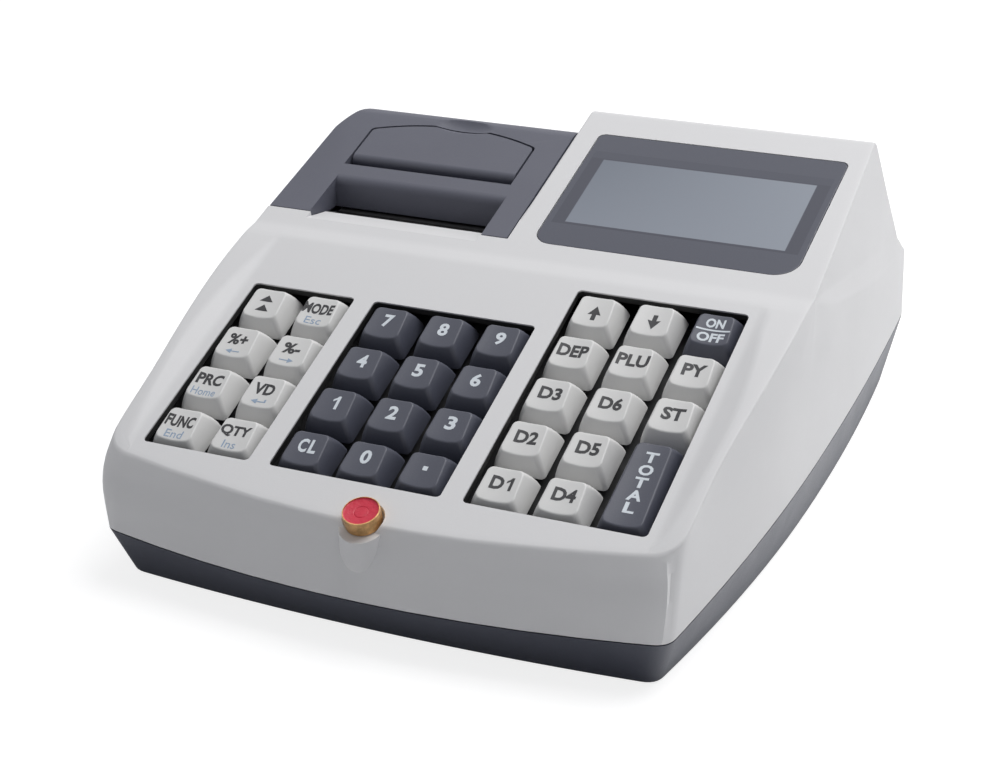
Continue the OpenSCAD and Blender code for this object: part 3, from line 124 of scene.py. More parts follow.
def hood_point(s, h=0.0):
    """Side view (y, z) of a point at s along the hood's face and h above it."""
    c, n = cos(HOOD_TILT), sin(HOOD_TILT)
    return HOOD[0] + s * c - h * n, HOOD[1] + s * n + h * c


def on_hood(points):
    return [hood_point(s, h) for s, h in points]


def tilted(y, z, degrees):
    """Frame at a point of the side view, turned about x."""
    return Matrix.Translation((0, y, z)) @ Matrix.Rotation(math.radians(degrees), 4, "X")


DECK_FRAME = tilted(DECK_Y, DECK_Z, DECK_TILT)
HOOD_FRAME = tilted(*HOOD, HOOD_TILT)
RIDGE = hood_point(HOOD_LEN)
BACK_FOOT_Y = RIDGE[0] + (RIDGE[1] - BACK_FOOT_Z) / tan(BACK_SLOPE)
HINGE = hood_point(HINGE_S, -HINGE_R)
LIP_FRAME = tilted(*hood_point(LIP_FRONT), -LIP_FALL)
LEDGE_END = (BACK_Y + 5, BACK_FOOT_Z - (BACK_Y + 5 - BACK_FOOT_Y) * tan(LEDGE_SLOPE))


# ---- materials ----
class Value:
    """One number that varies over a surface. Arithmetic on it adds Math nodes."""

    def __init__(self, finish, socket):
        self.finish, self.socket = finish, socket

    def maths(self, how, *values, limit=False):
        settings = dict(operation=how, use_clamp=limit)
        return self.finish.add("ShaderNodeMath", settings, dict(enumerate(values)))

    def __add__(self, other):
        return self.maths("ADD", self, other)

    __radd__ = __add__

    def __sub__(self, other):
        return self.maths("SUBTRACT", self, other)

    def __rsub__(self, other):
        return self.maths("SUBTRACT", other, self)

    def __mul__(self, other):
        return self.maths("MULTIPLY", self, other)

    __rmul__ = __mul__

    def __abs__(self):
        return self.maths("ABSOLUTE", self)

    def step(self, edge, width):
        """0 below the edge and 1 above it, over that width."""
        return self.maths("MULTIPLY", self - (edge - width / 2), 1 / width, limit=True)


class Nodes:
    """The nodes of a material or of the world."""

    def __init__(self, tree):
        self.tree = tree

    def feed(self, socket, value):
        if isinstance(value, Value):
            self.tree.links.new(value.socket, socket)
        else:
            socket.default_value = value

    def add(self, kind, settings, values, out=0):
        """Adds a node: its settings first, then its sockets' values or links. Returns one output."""
        node = self.tree.nodes.new(kind)
        for key, setting in settings.items():
            if key == "stops":
                for stop, (place, shade) in zip(node.color_ramp.elements, setting):
                    stop.position, stop.color = place, shade
            else:
                setattr(node, key, setting)
        for key, value in values.items():
            self.feed(node.inputs[key], value)
        return Value(self, node.outputs[out])

    def mix(self, mask, one, other):
        """Colour one where the mask is 0 and the other where it is 1."""
        return self.add("ShaderNodeMix", dict(data_type="RGBA"), {0: mask, 6: one, 7: other}, 2)

    def seen(self):
        """1 for what the camera sees directly, and 1 for what it sees as a reflection or through glass."""
        camera, glossy, through = (self.add("ShaderNodeLightPath", {}, {}, out)
                                   for out in ("Is Camera Ray", "Is Glossy Ray", "Is Transmission Ray"))
        return camera, glossy.maths("MAXIMUM", glossy, through)


class Finish(Nodes):
    """A procedural material around one shader."""

    def __init__(self, name, **fixed):
        self.material = bpy.data.materials.new(name)
        self.material.use_nodes = True
        super().__init__(self.material.node_tree)
        self.shader = self.tree.nodes["Principled BSDF"]
        self.set(**fixed)
        self.place = self.add("ShaderNodeTexCoord", {}, {}, "Object")

    def set(self, **values):
        for key, value in values.items():
            self.feed(self.shader.inputs[key.replace("_", " ")], value)

    def noise(self, size, detail=2.0, rough=0.5, stretch=None):
        """Noise from 0 to 1 with marks of about that size in mm."""
        place = self.place
        if stretch:
            place = self.add("ShaderNodeVectorMath", dict(operation="MULTIPLY"), {0: place, 1: stretch})
        return self.add("ShaderNodeTexNoise", {}, {
            "Vector": place, "Scale": 1 / (size * MM), "Detail": detail, "Roughness": rough})

    def axes(self):
        """The three coordinates of the place."""
        return (self.add("ShaderNodeSeparateXYZ", {}, {0: self.place}, k) for k in range(3))

    def bump(self, height, depth):
        """Relief of that depth in mm."""
        self.feed(self.shader.inputs["Normal"],
                  self.add("ShaderNodeBump", {}, {"Height": height, "Distance": depth * MM, "Strength": 1.0}))


def rgb(*values):
    return (*values, 1.0)


def shade(colour, factor):
    return rgb(*(min(1.0, c * factor) for c in colour))


def in_key_windows(f):
    """Painted shade: 1 on the walls of the key windows, from just below the deck's surface."""
    x, y, z = f.axes()
    c, n = cos(DECK_TILT), sin(DECK_TILT)
    run = (y - DECK_Y * MM) * c + (z - DECK_Z * MM) * n
    depth = (y - DECK_Y * MM) * n - (z - DECK_Z * MM) * c
    soft = 0.3 * MM
    return (depth.step(0.5 * MM, soft) * run.step(-4 * MM, soft) * (1 - run.step(91.5 * MM, soft))
            * (1 - abs(x).step(81.5 * MM, soft)))


def moulded(name, colour, rough=0.5, grain=0.5, relief=0.03, drift=0.05, dark=None, gloss=0.42):
    """Moulded plastic: slow drift of colour, fine grain, polish that varies with handling, and painted shade.
    """
    f = Finish(name, Specular_IOR_Level=gloss)
    cloud = f.noise(38, 3.0)
    speck = f.noise(grain, 3.0, 0.7)
    base = f.mix(cloud, shade(colour, 1 - drift), shade(colour, 1 + drift))
    base = f.mix(speck.step(0.5, 0.5) * 0.5, base, shade(colour, 1 - 2 * drift))
    # painted shade: where the mask is 1 the colour goes near black
    if dark:
        base = f.mix(dark(f), base, shade(colour, 0.02))
    f.set(Base_Color=base, Roughness=rough + 0.16 * f.noise(17, 4.0, 0.6) - 0.08 + 0.1 * speck)
    f.bump(speck, relief)
    return f.material


def polished_metal(name, colour, rough, wear):
    """Bare metal with fine turning marks and stained patches."""
    f = Finish(name, Metallic=1.0)
    marks = f.noise(0.3, 3.0, 0.6, (1.0, 1.0, 6.0))
    stain = f.noise(3.0, 4.0, 0.65)
    f.set(Base_Color=f.mix(stain.step(0.55, 0.3), rgb(*colour), shade(colour, wear)),
          Roughness=rough + 0.2 * stain + 0.1 * marks)
    f.bump(marks, 0.01)
    return f.material


def printed(name, colour):
    """Ink printed on a key: even, with slightly broken edges of tone."""
    f = Finish(name)
    worn = f.noise(0.4, 4.0, 0.7)
    f.set(Base_Color=f.mix(worn * 0.25, rgb(*colour), shade(colour, 1.35)), Roughness=0.42 + 0.15 * worn)
    return f.material


def display_window(name):
    """Tinted window: printed border, a thin inner frame and the grey display behind it, with painted light
    and a painted sheen on the display.
    """
    f = Finish(name, Coat_Roughness=0.08, Specular_IOR_Level=0.2)
    x, y, z = f.axes()
    c, n = cos(HOOD_TILT), sin(HOOD_TILT)
    s = (y - HOOD[0] * MM) * c + (z - HOOD[1] * MM) * n
    across = abs(x - LENS_X * MM)
    soft = 0.3 * MM

    def inside(half, low, high):
        return (1 - across.step(half * MM, soft)) * s.step(low * MM, soft) * (1 - s.step(high * MM, soft))

    grain = f.noise(0.35, 2.0)
    border = f.mix(grain, rgb(0.082, 0.086, 0.11), rgb(0.1, 0.104, 0.13))
    frame_band = inside(SCREEN_W / 2 + 4.5, SCREEN_S - 1.2, SCREEN_S + SCREEN_H + 4.5)
    bezel = f.mix(frame_band, border, rgb(0.072, 0.075, 0.097))
    # painted light: the display is lighter towards its lower edge and darker towards its top
    painted_display_light = s.step((SCREEN_S + SCREEN_H / 2) * MM, SCREEN_H * MM)
    # painted sheen: the display turns lighter towards its right
    sheen = x.step(LENS_X * MM, SCREEN_W * MM)
    display = f.mix(painted_display_light, rgb(0.215, 0.236, 0.278), rgb(0.175, 0.195, 0.232))
    display = f.mix(sheen, display, rgb(0.27, 0.294, 0.338))
    bezel = f.mix(frame_band * s.step((SCREEN_S + SCREEN_H + 0.6) * MM, soft), bezel, rgb(0.082, 0.086, 0.11))
    screen = inside(SCREEN_W / 2, SCREEN_S, SCREEN_S + SCREEN_H)
    f.set(Base_Color=f.mix(screen, bezel, display), Roughness=0.22 + 0.05 * grain,
          Coat_Weight=0.06 + 0.04 * grain)
    return f.material


def sealing_wax(name):
    """Red sealing compound: a stamped, slightly hollow and glossy top."""
    f = Finish(name, Subsurface_Weight=0.0)
    ripple = f.noise(1.6, 3.0, 0.55)
    f.set(Base_Color=f.mix(ripple, rgb(0.5, 0.008, 0.035), rgb(0.62, 0.02, 0.055)),
          Roughness=0.4 + 0.2 * ripple)
    f.bump(ripple, 0.25)
    return f.material


def circuit_board(name):
    """Green solder mask over copper traces."""
    f = Finish(name)
    trace = f.noise(2.0, 1.0, 0.3, (1.0, 4.0, 1.0)).step(0.52, 0.04)
    f.set(Base_Color=f.mix(trace, rgb(0.01, 0.1, 0.035), rgb(0.03, 0.19, 0.07)), Roughness=0.3 + 0.1 * trace)
    f.bump(trace, 0.05)
    return f.material


# Each finish: name, kind, colour, and for plastic: roughness, grain and relief in mm, drift of the
# colour, a mask where shade is painted near black, and gloss
FINISHES = {name: kind(name, *values) for name, kind, *values in (
    # case_light gets painted shade, near black, on the walls of its key windows
    ("case_light", moulded, (0.66, 0.655, 0.66), 0.46, 0.55, 0.02, 0.015, in_key_windows),
    ("case_dark", moulded, (0.052, 0.056, 0.076), 0.42, 0.5, 0.035, 0.06, None, 0.6),
    ("cover_grey", moulded, (0.094, 0.097, 0.125), 0.5, 0.5, 0.035, 0.07),
    ("key_light", moulded, (0.67, 0.665, 0.655), 0.42, 0.45, 0.02, 0.015),
    ("key_dark", moulded, (0.066, 0.07, 0.094), 0.42, 0.45, 0.03, 0.06),
    ("lens", display_window),
    ("lcd", moulded, (0.24, 0.26, 0.31), 0.3, 0.6, 0.01, 0.03),
    # inner_grey is near black: painted shade, so that the inner parts seen between the keys stand for the
    # shade in the gaps
    ("inner_grey", moulded, (0.03, 0.03, 0.032), 0.6, 0.6),
    ("inner_black", moulded, (0.022, 0.022, 0.024), 0.5, 0.6),
    ("silicone", moulded, (0.35, 0.35, 0.33), 0.7, 0.6),
    ("board", circuit_board),
    ("battery", moulded, (0.04, 0.1, 0.3), 0.3, 2.0, 0.02),
    ("steel", polished_metal, (0.55, 0.55, 0.57), 0.28, 0.8),
    ("rubber", moulded, (0.02, 0.02, 0.021), 0.75, 0.7, 0.05),
    ("gear", moulded, (0.75, 0.75, 0.72), 0.45, 0.6),
    ("brass", polished_metal, (0.66, 0.4, 0.18), 0.24, 0.5),
    ("wax", sealing_wax),
)}
INKS = {name: printed("ink_" + name, colour) for name, colour in (
    ("black", (0.008, 0.008, 0.011)), ("white", (0.62, 0.66, 0.7)), ("blue", (0.26, 0.34, 0.45)))}


# ---- mesh helpers, in mm ----
def solid(name, points, faces):
    mesh = bpy.data.meshes.new(name)
    mesh.from_pydata([tuple(p) for p in points], [], faces)
    obj = bpy.data.objects.new(name, mesh)
    bpy.context.scene.collection.objects.link(obj)
    work = bmesh.new()
    work.from_mesh(mesh)
    bmesh.ops.recalc_face_normals(work, faces=work.faces)
    work.to_mesh(mesh)
    work.free()
    return obj


def bake(piece):
    """Applies the modifiers of a piece."""
    bpy.context.view_layer.update()
    seen = piece.evaluated_get(bpy.context.evaluated_depsgraph_get())
    mesh = bpy.data.meshes.new_from_object(seen)
    piece.modifiers.clear()
    old = piece.data
    piece.data = mesh
    bpy.data.meshes.remove(old)
    return piece


def carve(piece, cutters=(), added=(), common=()):
    """Adds solids to a piece, keeps what it shares with others, then cuts others out. Uses up the solids."""
    for others, how in ((added, "UNION"), (common, "INTERSECT"), (cutters, "DIFFERENCE")):
        for other in others:
            step = piece.modifiers.new("carve", "BOOLEAN")
            step.operation, step.solver, step.object = how, "EXACT", other
    bake(piece)
    for other in (*added, *common, *cutters):
        bpy.data.objects.remove(other)
    return piece


def bevel(piece, width, segments=2, angle=30):
    step = piece.modifiers.new("bevel", "BEVEL")
    step.width, step.segments, step.limit_method = width, segments, "ANGLE"
    step.angle_limit, step.use_clamp_overlap = math.radians(angle), True
    return bake(piece)


def ring_solid(name, rings):
    """Closed solid through rings of equally many points, with a face over the first and the last."""
    n, last = len(rings[0]), (len(rings) - 1) * len(rings[0])
    faces = [tuple(range(n)), tuple(range(last, last + n))]
    for m in range(0, last, n):
        faces += [(m + k, m + (k + 1) % n, m + n + (k + 1) % n, m + n + k) for k in range(n)]
    return solid(name, [p for ring in rings for p in ring], faces)


def prism(name, outline, low, high, place=Matrix()):
    """Closed solid over an outline in x and y, from one height to another."""
    return ring_solid(name, [[place @ Vector((x, y, z)) for x, y in outline] for z in (low, high)])


def side_prism(name, outline, left, right):
    """Closed solid over a side view in y and z, from one x to another."""
    return ring_solid(name, [[(x, y, z) for y, z in outline] for x in (left, right)])


def circle(x, y, r, count=48, start=0.0, turn=360.0):
    steps = count if abs(turn) >= 360 else count - 1
    angles = [start + turn * k / steps for k in range(count)]
    return [(x + r * cos(a), y + r * sin(a)) for a in angles]


def rounded_box(x0, x1, y0, y1, radii, count=8):
    """Outline of a rectangle; radii from the low corner on the left, counter-clockwise."""
    corners = ((x0, y0, 1, 1, 180), (x1, y0, -1, 1, 270), (x1, y1, -1, -1, 0), (x0, y1, 1, -1, 90))
    out = []
    for (x, y, a, b, start), r in zip(corners, radii):
        out += circle(x + a * r, y + b * r, r, count, start, 90)
    return out


def bend(a, p, b, t):
    """Point at t on a curve from a to b that is drawn towards p."""
    return a * (1 - t) ** 2 + p * 2 * t * (1 - t) + b * t * t


def rounded(points, lengths, steps):
    """A line with its inner corners rounded by curves that start that far from them."""
    points = [Vector(p) for p in points]
    out = [points[0]]
    for k in range(1, len(points) - 1):
        a, p, b = points[k - 1:k + 2]
        reach = min(lengths[k - 1], 0.49 * (a - p).length, 0.49 * (b - p).length)
        start, end = p + (a - p).normalized() * reach, p + (b - p).normalized() * reach
        count = steps[k - 1]
        out += [bend(start, p, end, i / count) for i in range(count + 1)]
    return out + [points[-1]]


def finish_piece(piece, body, slot, *replaced, angle=38, material=None):
    """Scales a finished piece to metres, gives it its material and puts it on its body."""
    piece.data.transform(Matrix.Scale(MM, 4))
    piece.data.materials.clear()
    piece.data.materials.append(material or FINISHES[slot])
    piece.data.shade_smooth()
    piece.data.set_sharp_from_angle(angle=math.radians(angle))
    even = piece.modifiers.new("even", "WEIGHTED_NORMAL")
    even.keep_sharp, even.weight = True, 80
    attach(piece, body)
    if replaced:
        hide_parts(*replaced)
    return piece


# ---- outline of the case ----
def parting_z(y):
    return TUB_H + (y - FRONT_Y) * tan(PARTING_RISE)


def side_x(o, y):
    if y < WIDE_Y:
        return o[1] - (o[1] - o[0]) * ((WIDE_Y - y) / (WIDE_Y - o[3])) ** 2
    return o[1] - (o[1] - o[2]) * ((y - WIDE_Y) / (o[5] - WIDE_Y)) ** 2


def outline_at(low, high, t):
    return [lerp(a, b, t) for a, b in zip(low, high)]


def wall_point(side, k, o):
    """Point of an outline: k runs from -1 to 1 over the front and the back, and from 0 to 1 along a side."""
    if side == "front":
        return o[0] * k, o[4] + (o[3] - o[4]) * k * k
    if side == "back":
        return o[2] * k, o[6] - (o[6] - o[5]) * k * k
    y = lerp(o[3], o[5], k)
    return (side_x(o, y) if side == "right" else -side_x(o, y)), y


def upper_outline(y, z):
    """Outline of the upper case's walls at a height that is reached at that y."""
    return outline_at(PARTING, TOP, (z - parting_z(y)) / (TOP_Z - parting_z(y)))


def upper_point(side, k, z):
    """Point of the upper case's walls at a height."""
    y = 0.0
    for _ in range(3):
        x, y = wall_point(side, k, upper_outline(y, z))
    return x, y


ROLL_BACK = (HINGE[0] + HINGE_R * sin(BACK_SLOPE), HINGE[1] + HINGE_R * cos(BACK_SLOPE))
MEET_Y = ((ROLL_BACK[1] + ROLL_BACK[0] * tan(BACK_SLOPE) - BACK_FOOT_Z - BACK_FOOT_Y * tan(LEDGE_SLOPE))
          / (tan(BACK_SLOPE) - tan(LEDGE_SLOPE)))
MEET = (MEET_Y, ROLL_BACK[1] - (MEET_Y - ROLL_BACK[0]) * tan(BACK_SLOPE))
DECK_START = (DECK_Y - DECK_Z / tan(DECK_TILT), 0)
LOW_VIEW = [(p.x, p.y) for p in rounded(
    [DECK_START, CREASE, HOOD, hood_point(20), hood_point(HINGE_S - 8, -4), ROLL_BACK, MEET, LEDGE_END],
    [1.6, 1.6, 0.2, 0.2, 0.2, 3.0], [4, 4, 1, 1, 1, 4])]
HIGH_VIEW = [(p.x, p.y) for p in rounded(
    [DECK_START, CREASE, HOOD, RIDGE, (BACK_FOOT_Y, BACK_FOOT_Z), LEDGE_END],
    [1.6, 1.6, 3.0, 3.0], [4, 4, 8, 4])]


def deck_run(y):
    return (y - DECK_Y) / cos(DECK_TILT)


def rail_height(y):
    t = clamp((deck_run(y) - RAIL_START) / (DECK_LEN - RAIL_START))
    return 4 * RAIL_CROWN * t * (1 - t)


def ramp(d, width=1.2):
    """0 before the start of a ramp, then its run, with a soft start."""
    return 0.0 if d < -width else d if d > width else (d + width) ** 2 / (4 * width)


def rail(x, y):
    height = rail_height(y)
    if height <= 0:
        return 0.0
    run = abs(x) - PANEL_HALF
    rise = tan(RAIL_SLOPE) * (ramp(run) - ramp(run - height / tan(RAIL_SLOPE)))
    return rise / cos(DECK_TILT)


HOOD_EDGE_R, SEAM_EASE = 0.9, 0.03


def top_height(x, y, seam):
    """Height of the top of the case, with the hood right of the seam."""
    if x < seam - SEAM_EASE:
        return along(LOW_VIEW, y) + rail(x, y)
    if y <= HOOD[0]:
        return along(HIGH_VIEW, y) + rail(x, y)
    fade = smooth((y - HOOD[0] - 7) / 2) * smooth((BACK_FOOT_Y + 1 - y) / 4)
    d = clamp(x - seam + SEAM_EASE, 0, HOOD_EDGE_R)
    drop = HOOD_EDGE_R - math.sqrt(HOOD_EDGE_R ** 2 - (HOOD_EDGE_R - d) ** 2)
    return max(along(HIGH_VIEW, y) - fade * drop, along(LOW_VIEW, y) - 0.5 * (1 - fade) * drop) + rail(x, y)


# Where the upper and the lower line of the right shoulder start, and how far the hood's side leans in
J_Y, K_Y = -14.5, 8.5
HOOD_SIDE_LEAN = 0.0602
# Lower line of the shoulder: y, x, z
SHOULDER_LOW = ((J_Y, 97.0, 66.8), (K_Y, 97.0, 71.0), (68, 95.6, 59.4), (126, 92.6, 52), (140, 91, 50))
# From here on the shoulder fades into the rear corner
SHOULDER_FADE_Y = 112
# Shares of a plain wall's height at which it has points
WALL_SHARES = (0.12, 0.22, 0.42)


def shoulder_top(y):
    """The x and z of the shoulder's upper line."""
    t = (y - J_Y) / (BACK_FOOT_Y - J_Y)
    return lerp(96.1, 93.5, t), lerp(80.6, BACK_FOOT_Z, t)


def right_edge_x(x, y, z):
    """Half width of the top's right edge: the hood's side leans inwards."""
    if y < J_Y - 6 or y > BACK_FOOT_Y:
        return x
    foot, foot_z = shoulder_top(y)
    lean = foot - max(0.0, z - foot_z) * HOOD_SIDE_LEAN
    return lerp(x, min(x, lean), smooth((y - J_Y + 6) / 10) * smooth((BACK_FOOT_Y - y) / 3))


def near_front(y):
    """0 along the sides and 1 at the front wall."""
    return smooth((-85 - y) / 30)


def belly(p):
    """How far the walls stand out: most at the front corners, a little along the front and the sides."""
    corner = near_front(p.y) * smooth((abs(p.x) - 45) / 38)
    side = smooth((-p.y - 10) / 40) * smooth((p.y + 128) / 16)
    middle = near_front(p.y) * (1 - smooth((abs(p.x) - 8) / 40))
    flank = smooth((abs(p.x) - 70) / 15)
    return (1 + 2 * corner - 0.6 * middle + 0.9 * side * flank) * smooth((100 - p.y) / 40)


def right_wall(e, wall):
    """Three points down the right wall: it stands out along the deck and has a shoulder below the hood."""
    y = e.y
    if y < J_Y:
        fade, near = smooth((y - DECK_Y - 20) / 70), smooth((y - J_Y + 9) / 9)
        c = e + wall * (min(14.0, 0.5 * -wall.z) / -wall.z) + Vector((0.75 * fade, 0, 0))
        return [lerp(e.lerp(c, share), e + wall * (drop / -wall.z), near)
                for share, drop in ((0.34, 0.8), (0.67, 1.6))] + [c]
    x, z = shoulder_top(y)
    b = Vector((x, y, z))
    if b.z > e.z - 0.8 or y > BACK_FOOT_Y - 2:
        b = e + wall.normalized() * 0.8
    low_x, low_z = (along([(p[0], p[axis]) for p in SHOULDER_LOW], y) for axis in (1, 2))
    c = Vector((low_x, y, min(low_z, b.z - 2)))
    t = (y - J_Y) / (K_Y - J_Y)
    d = Vector((lerp(96.4, 97, t), y, lerp(79.6, 71.6, t))) if y < K_Y else b.lerp(c, 0.86)
    d.z = min(d.z, b.z - 0.5)
    if y <= SHOULDER_FADE_Y:
        return [b, d, c]
    fade = smooth((y - SHOULDER_FADE_Y) / 14)
    return [lerp(p, e + wall * share, fade) for p, share in zip((b, d, c), WALL_SHARES)]


def wall_points(e, f, n, inset):
    """Three points between a wall's top edge and its foot, for a normal in plan."""
    wall = f - e
    if inset:
        return [e + wall * share for share in WALL_SHARES]
    if n.x > 0.7 and e.x > 0:
        return right_wall(e, wall)
    swell = belly(e)
    points = [e + wall * share + n * swell * part for share, part in ((0.14, 0.35), (0.3, 0.7), (0.55, 0.75))]
    for p in points:
        p.x = clamp(p.x, -WIDEST, WIDEST)
    return points


class Case:
    """Closed form of the upper case, or of its inside when it is inset and lowered."""

    def __init__(self, inset, lower, floor):
        self.lower, self.floor = lower, floor
        self.seam = SEAM_X - SEAM_EASE + inset

    def height(self, x, y):
        return top_height(x, y, self.seam) - self.lower

    def edge(self, side, k):
        """Sharp edge between the top and a wall."""
        z = 60.0
        for _ in range(6):
            x, y = upper_point(side, k, z)
            z = self.height(x, y)
        if side == "right":
            x = right_edge_x(x, y, z)
        return Vector((x, y, z))

    def foot(self, side, k):
        """The wall's foot at the parting line."""
        x, y = wall_point(side, k, PARTING)
        return Vector((x, y, parting_z(y) + self.floor))

    def place(self, side, k):
        return self.edge(side, k), self.foot(side, k)

    def corner(self, one, k1, at1, other, k2, at2):
        """Five places round a corner, from k1 on one side to k2 on the other, drawn towards its tip."""
        start, end = self.place(one, k1), self.place(other, k2)
        tip = [(p + q) / 2 for p, q in zip(self.place(one, at1), self.place(other, at2))]
        return [[bend(a, p, b, t) for a, p, b in zip(start, tip, end)] for t in SIXTHS]


LEAST_ROW, SIDE_STEPS = 0.04, 300


def build_case(inset=0.0, lower=0.0, top_in=2.3, floor=PARTING_GAP, fine=True):
    """Grid over the top, bounded by a ring; each point of the ring continues down the wall."""
    case = Case(inset, lower, floor)
    # -- rows: straight ones over y, and the ones that follow the front and the back --
    stops = {round(p[0], 3) for p in LOW_VIEW + HIGH_VIEW if DECK_Y + 12 < p[0] < BACK_FOOT_Y + 4}
    deck = {DECK_Y + 8 + 7 * k for k in range(12 if fine else 2)}
    extra = {hood_point(s)[0] for s in (4, 9.0, 9.2, 30, 50, 75)} if fine else set()
    straight = []
    for y in sorted({y for y in deck if y < CREASE[0] - 3} | stops | extra | {BACK_FOOT_Y + 6}):
        if not straight or y - straight[-1] > LEAST_ROW:
            straight.append(y)

    def ends(side, hand):
        """Places on a side for all rows, from the front corner to the back corner."""
        table = [(case.edge(side, k / SIDE_STEPS).y, k / SIDE_STEPS) for k in range(SIDE_STEPS + 1)]
        ahead, behind = (along([(k, y) for y, k in table], q) for q in (Q_SIDE, 1 - Q_SIDE))
        shares = [Q_SIDE, *(along(table, lerp(ahead, straight[0], t)) for t in (0.3, 0.62)),
                  *(along(table, y) for y in straight),
                  *(along(table, lerp(behind, straight[-1], t)) for t in (0.55, 0.3)), 1 - Q_SIDE]
        return [*case.corner("front", (1 - Q_FRONT) * hand, hand, side, Q_SIDE, 0)[2:],
                *(case.place(side, k) for k in shares),
                *case.corner(side, 1 - Q_SIDE, 1, "back", (1 - Q_FRONT) * hand, hand)[:3]]

    # -- columns: over the front and the back --
    xs_left = [12, 20, 34, 50, 66] if fine else [20, 50]
    xs_seam = [case.seam + d for d in ((-0.04, 0, 0.08, 0.25, 0.5, 0.9) if fine else (-0.5, 0))]
    xs_hood = [2, 16, 32, 48, 64, 76] if fine else [30, 60]

    def columns(y, left, right, end):
        """Columns of a row, with the outermost ones evenly over an end of that width."""
        run = rail_height(y) / tan(RAIL_SLOPE) if y < CREASE[0] else 3.0
        rails = [PANEL_HALF + start + d for start in (0, max(run, 2.8)) for d in (-1.2, -0.4, 0.4, 1.2)]
        rails = rails if fine else [PANEL_HALF]
        outer = [end / 3 * n for n in (3, 2, 1, 0)]
        halves = (xs_left + rails + [-left - d for d in outer],
                  xs_hood + rails + [right - d for d in outer])
        for half in halves:
            for k in range(len(half) - 5, -1, -1):
                half[k] = min(half[k], half[k + 1] - 0.12)
        return [-x for x in reversed(halves[0])] + xs_seam + halves[1]

    def across(side, y):
        """Places over the front or the back, between its corners."""
        half, last = case.edge(side, 1).x, case.edge(side, 1 - Q_FRONT).x
        return [case.place(side, x / half) for x in (-last, *columns(y, -last, last, 0.36)[4:-4], last)]

    # -- closed ring: front left to right, right side, back right to left, left side --
    right, left = ends("right", 1), ends("left", -1)
    front = [*case.corner("front", -(1 - Q_FRONT), -1, "left", Q_SIDE, 0)[2::-1], *across("front", -125),
             *case.corner("front", 1 - Q_FRONT, 1, "right", Q_SIDE, 0)[:3]]
    back = [*case.corner("left", 1 - Q_SIDE, 1, "back", -(1 - Q_FRONT), -1)[2:], *across("back", 130),
            *case.corner("right", 1 - Q_SIDE, 1, "back", 1 - Q_FRONT, 1)[:1:-1]]
    ring = front + right[1:-1] + back[::-1] + left[-2:0:-1]
    n_cols, n_rows, total = len(front), len(right), len(ring)
    edges = [p for p, _ in ring]
    # the ring's normals in plan, from the edge points all round
    normals = []
    for k in range(total):
        d = edges[(k + 1) % total] - edges[k - 1]
        normals.append(Vector((d.y, -d.x, 0)).normalized())
    reaches = [lerp(0.8 * top_in, top_in, abs(n.y)) for n in normals]
    tops, feet = [], []
    for k, ((p, f), n) in enumerate(zip(ring, normals)):
        out = 0.0 if inset else 0.75 * belly(p) - 0.55 * abs(n.y) * near_front(p.y)
        p = p + n * (out - inset)
        p.x = clamp(p.x, -WIDEST, WIDEST)
        t = p - n * reaches[k]
        tops.append(Vector((t.x, t.y, case.height(t.x, t.y))))
        edges[k] = Vector((p.x, p.y, case.height(p.x, p.y)))
        feet.append(f - n * inset)
    # -- grid --
    border = [*((0, i) for i in range(n_cols)),
              *((j, n_cols - 1) for j in range(1, n_rows - 1)),
              *((n_rows - 1, i) for i in reversed(range(n_cols))),
              *((j, 0) for j in range(n_rows - 2, 0, -1))]
    grid = [[None] * n_cols for _ in range(n_rows)]
    for (j, i), top in zip(border, tops):
        grid[j][i] = top
    front_curve, back_curve = ([(p.x, p.y) for p in row[3:n_cols - 3]] for row in (grid[0], grid[-1]))
    for j in range(1, n_rows - 1):
        a, b = grid[j][0], grid[j][-1]
        y_mid = (a.y + b.y) / 2
        cols = columns(y_mid, a.x, b.x, 1.4)
        curve, far_y = None, 0
        if y_mid < straight[0] - 0.01:
            curve, far_y = front_curve, straight[0]
        elif y_mid > straight[-1] + 0.01:
            curve, far_y = back_curve, straight[-1]
        for i in range(1, n_cols - 1):
            x = cols[i]
            if curve:
                end = a if x < 0 else b
                base = along(curve, end.x)
                y = lerp(along(curve, x), far_y, (end.y - base) / (far_y - base))
            else:
                y = lerp(a.y, b.y, (x - a.x) / (b.x - a.x))
            grid[j][i] = Vector((x, y, case.height(x, y)))
    points = [p for row in grid for p in row]
    faces = [(m, m + 1, m + n_cols + 1, m + n_cols)
             for j in range(n_rows - 1) for m in range(j * n_cols, (j + 1) * n_cols - 1)]
    # -- walls --
    lines = []
    for (j, i), top, e, f, n, reach in zip(border, tops, edges, feet, normals, reaches):
        soft = 1.0 if inset else lerp(1.0, 6.0, clamp(belly(e) - 1, 0, 2) / 2)
        line = rounded([top, e, *wall_points(e, f, n, inset), f], [reach, soft, soft, 1.4 * soft],
                       [5 if fine else 1, 3, 3, 3])[2:]
        lines.append([j * n_cols + i, *range(len(points), len(points) + len(line))])
        for p in line:
            p.x = clamp(p.x, -WIDEST, WIDEST)
        points += line
    for a, b in zip(lines, [*lines[1:], lines[0]]):
        faces += [(a[m], a[m + 1], b[m + 1], b[m]) for m in range(len(a) - 1)]
    faces.append(tuple(ids[-1] for ids in lines))
    return solid("case_form", points, faces)


# ---- upper case ----
def cover_space(gap):
    """Side view of the space that the printer cover takes."""
    front, low = COVER_FRONT - gap, -COVER_DROP - gap
    r = HINGE_R + gap
    reach = math.sqrt(r * r - (-HINGE_R - low) ** 2)
    start = math.degrees(math.atan2(low + HINGE_R, -reach))
    arc = [(HINGE_S + r * cos(a), -HINGE_R + r * sin(a))
           for a in [start + (360 - start) * k / 40 for k in range(41)]]
    points = [(front, 60), (front, low)] + arc + [(HINGE_S + r, 60)]
    return on_hood(points)


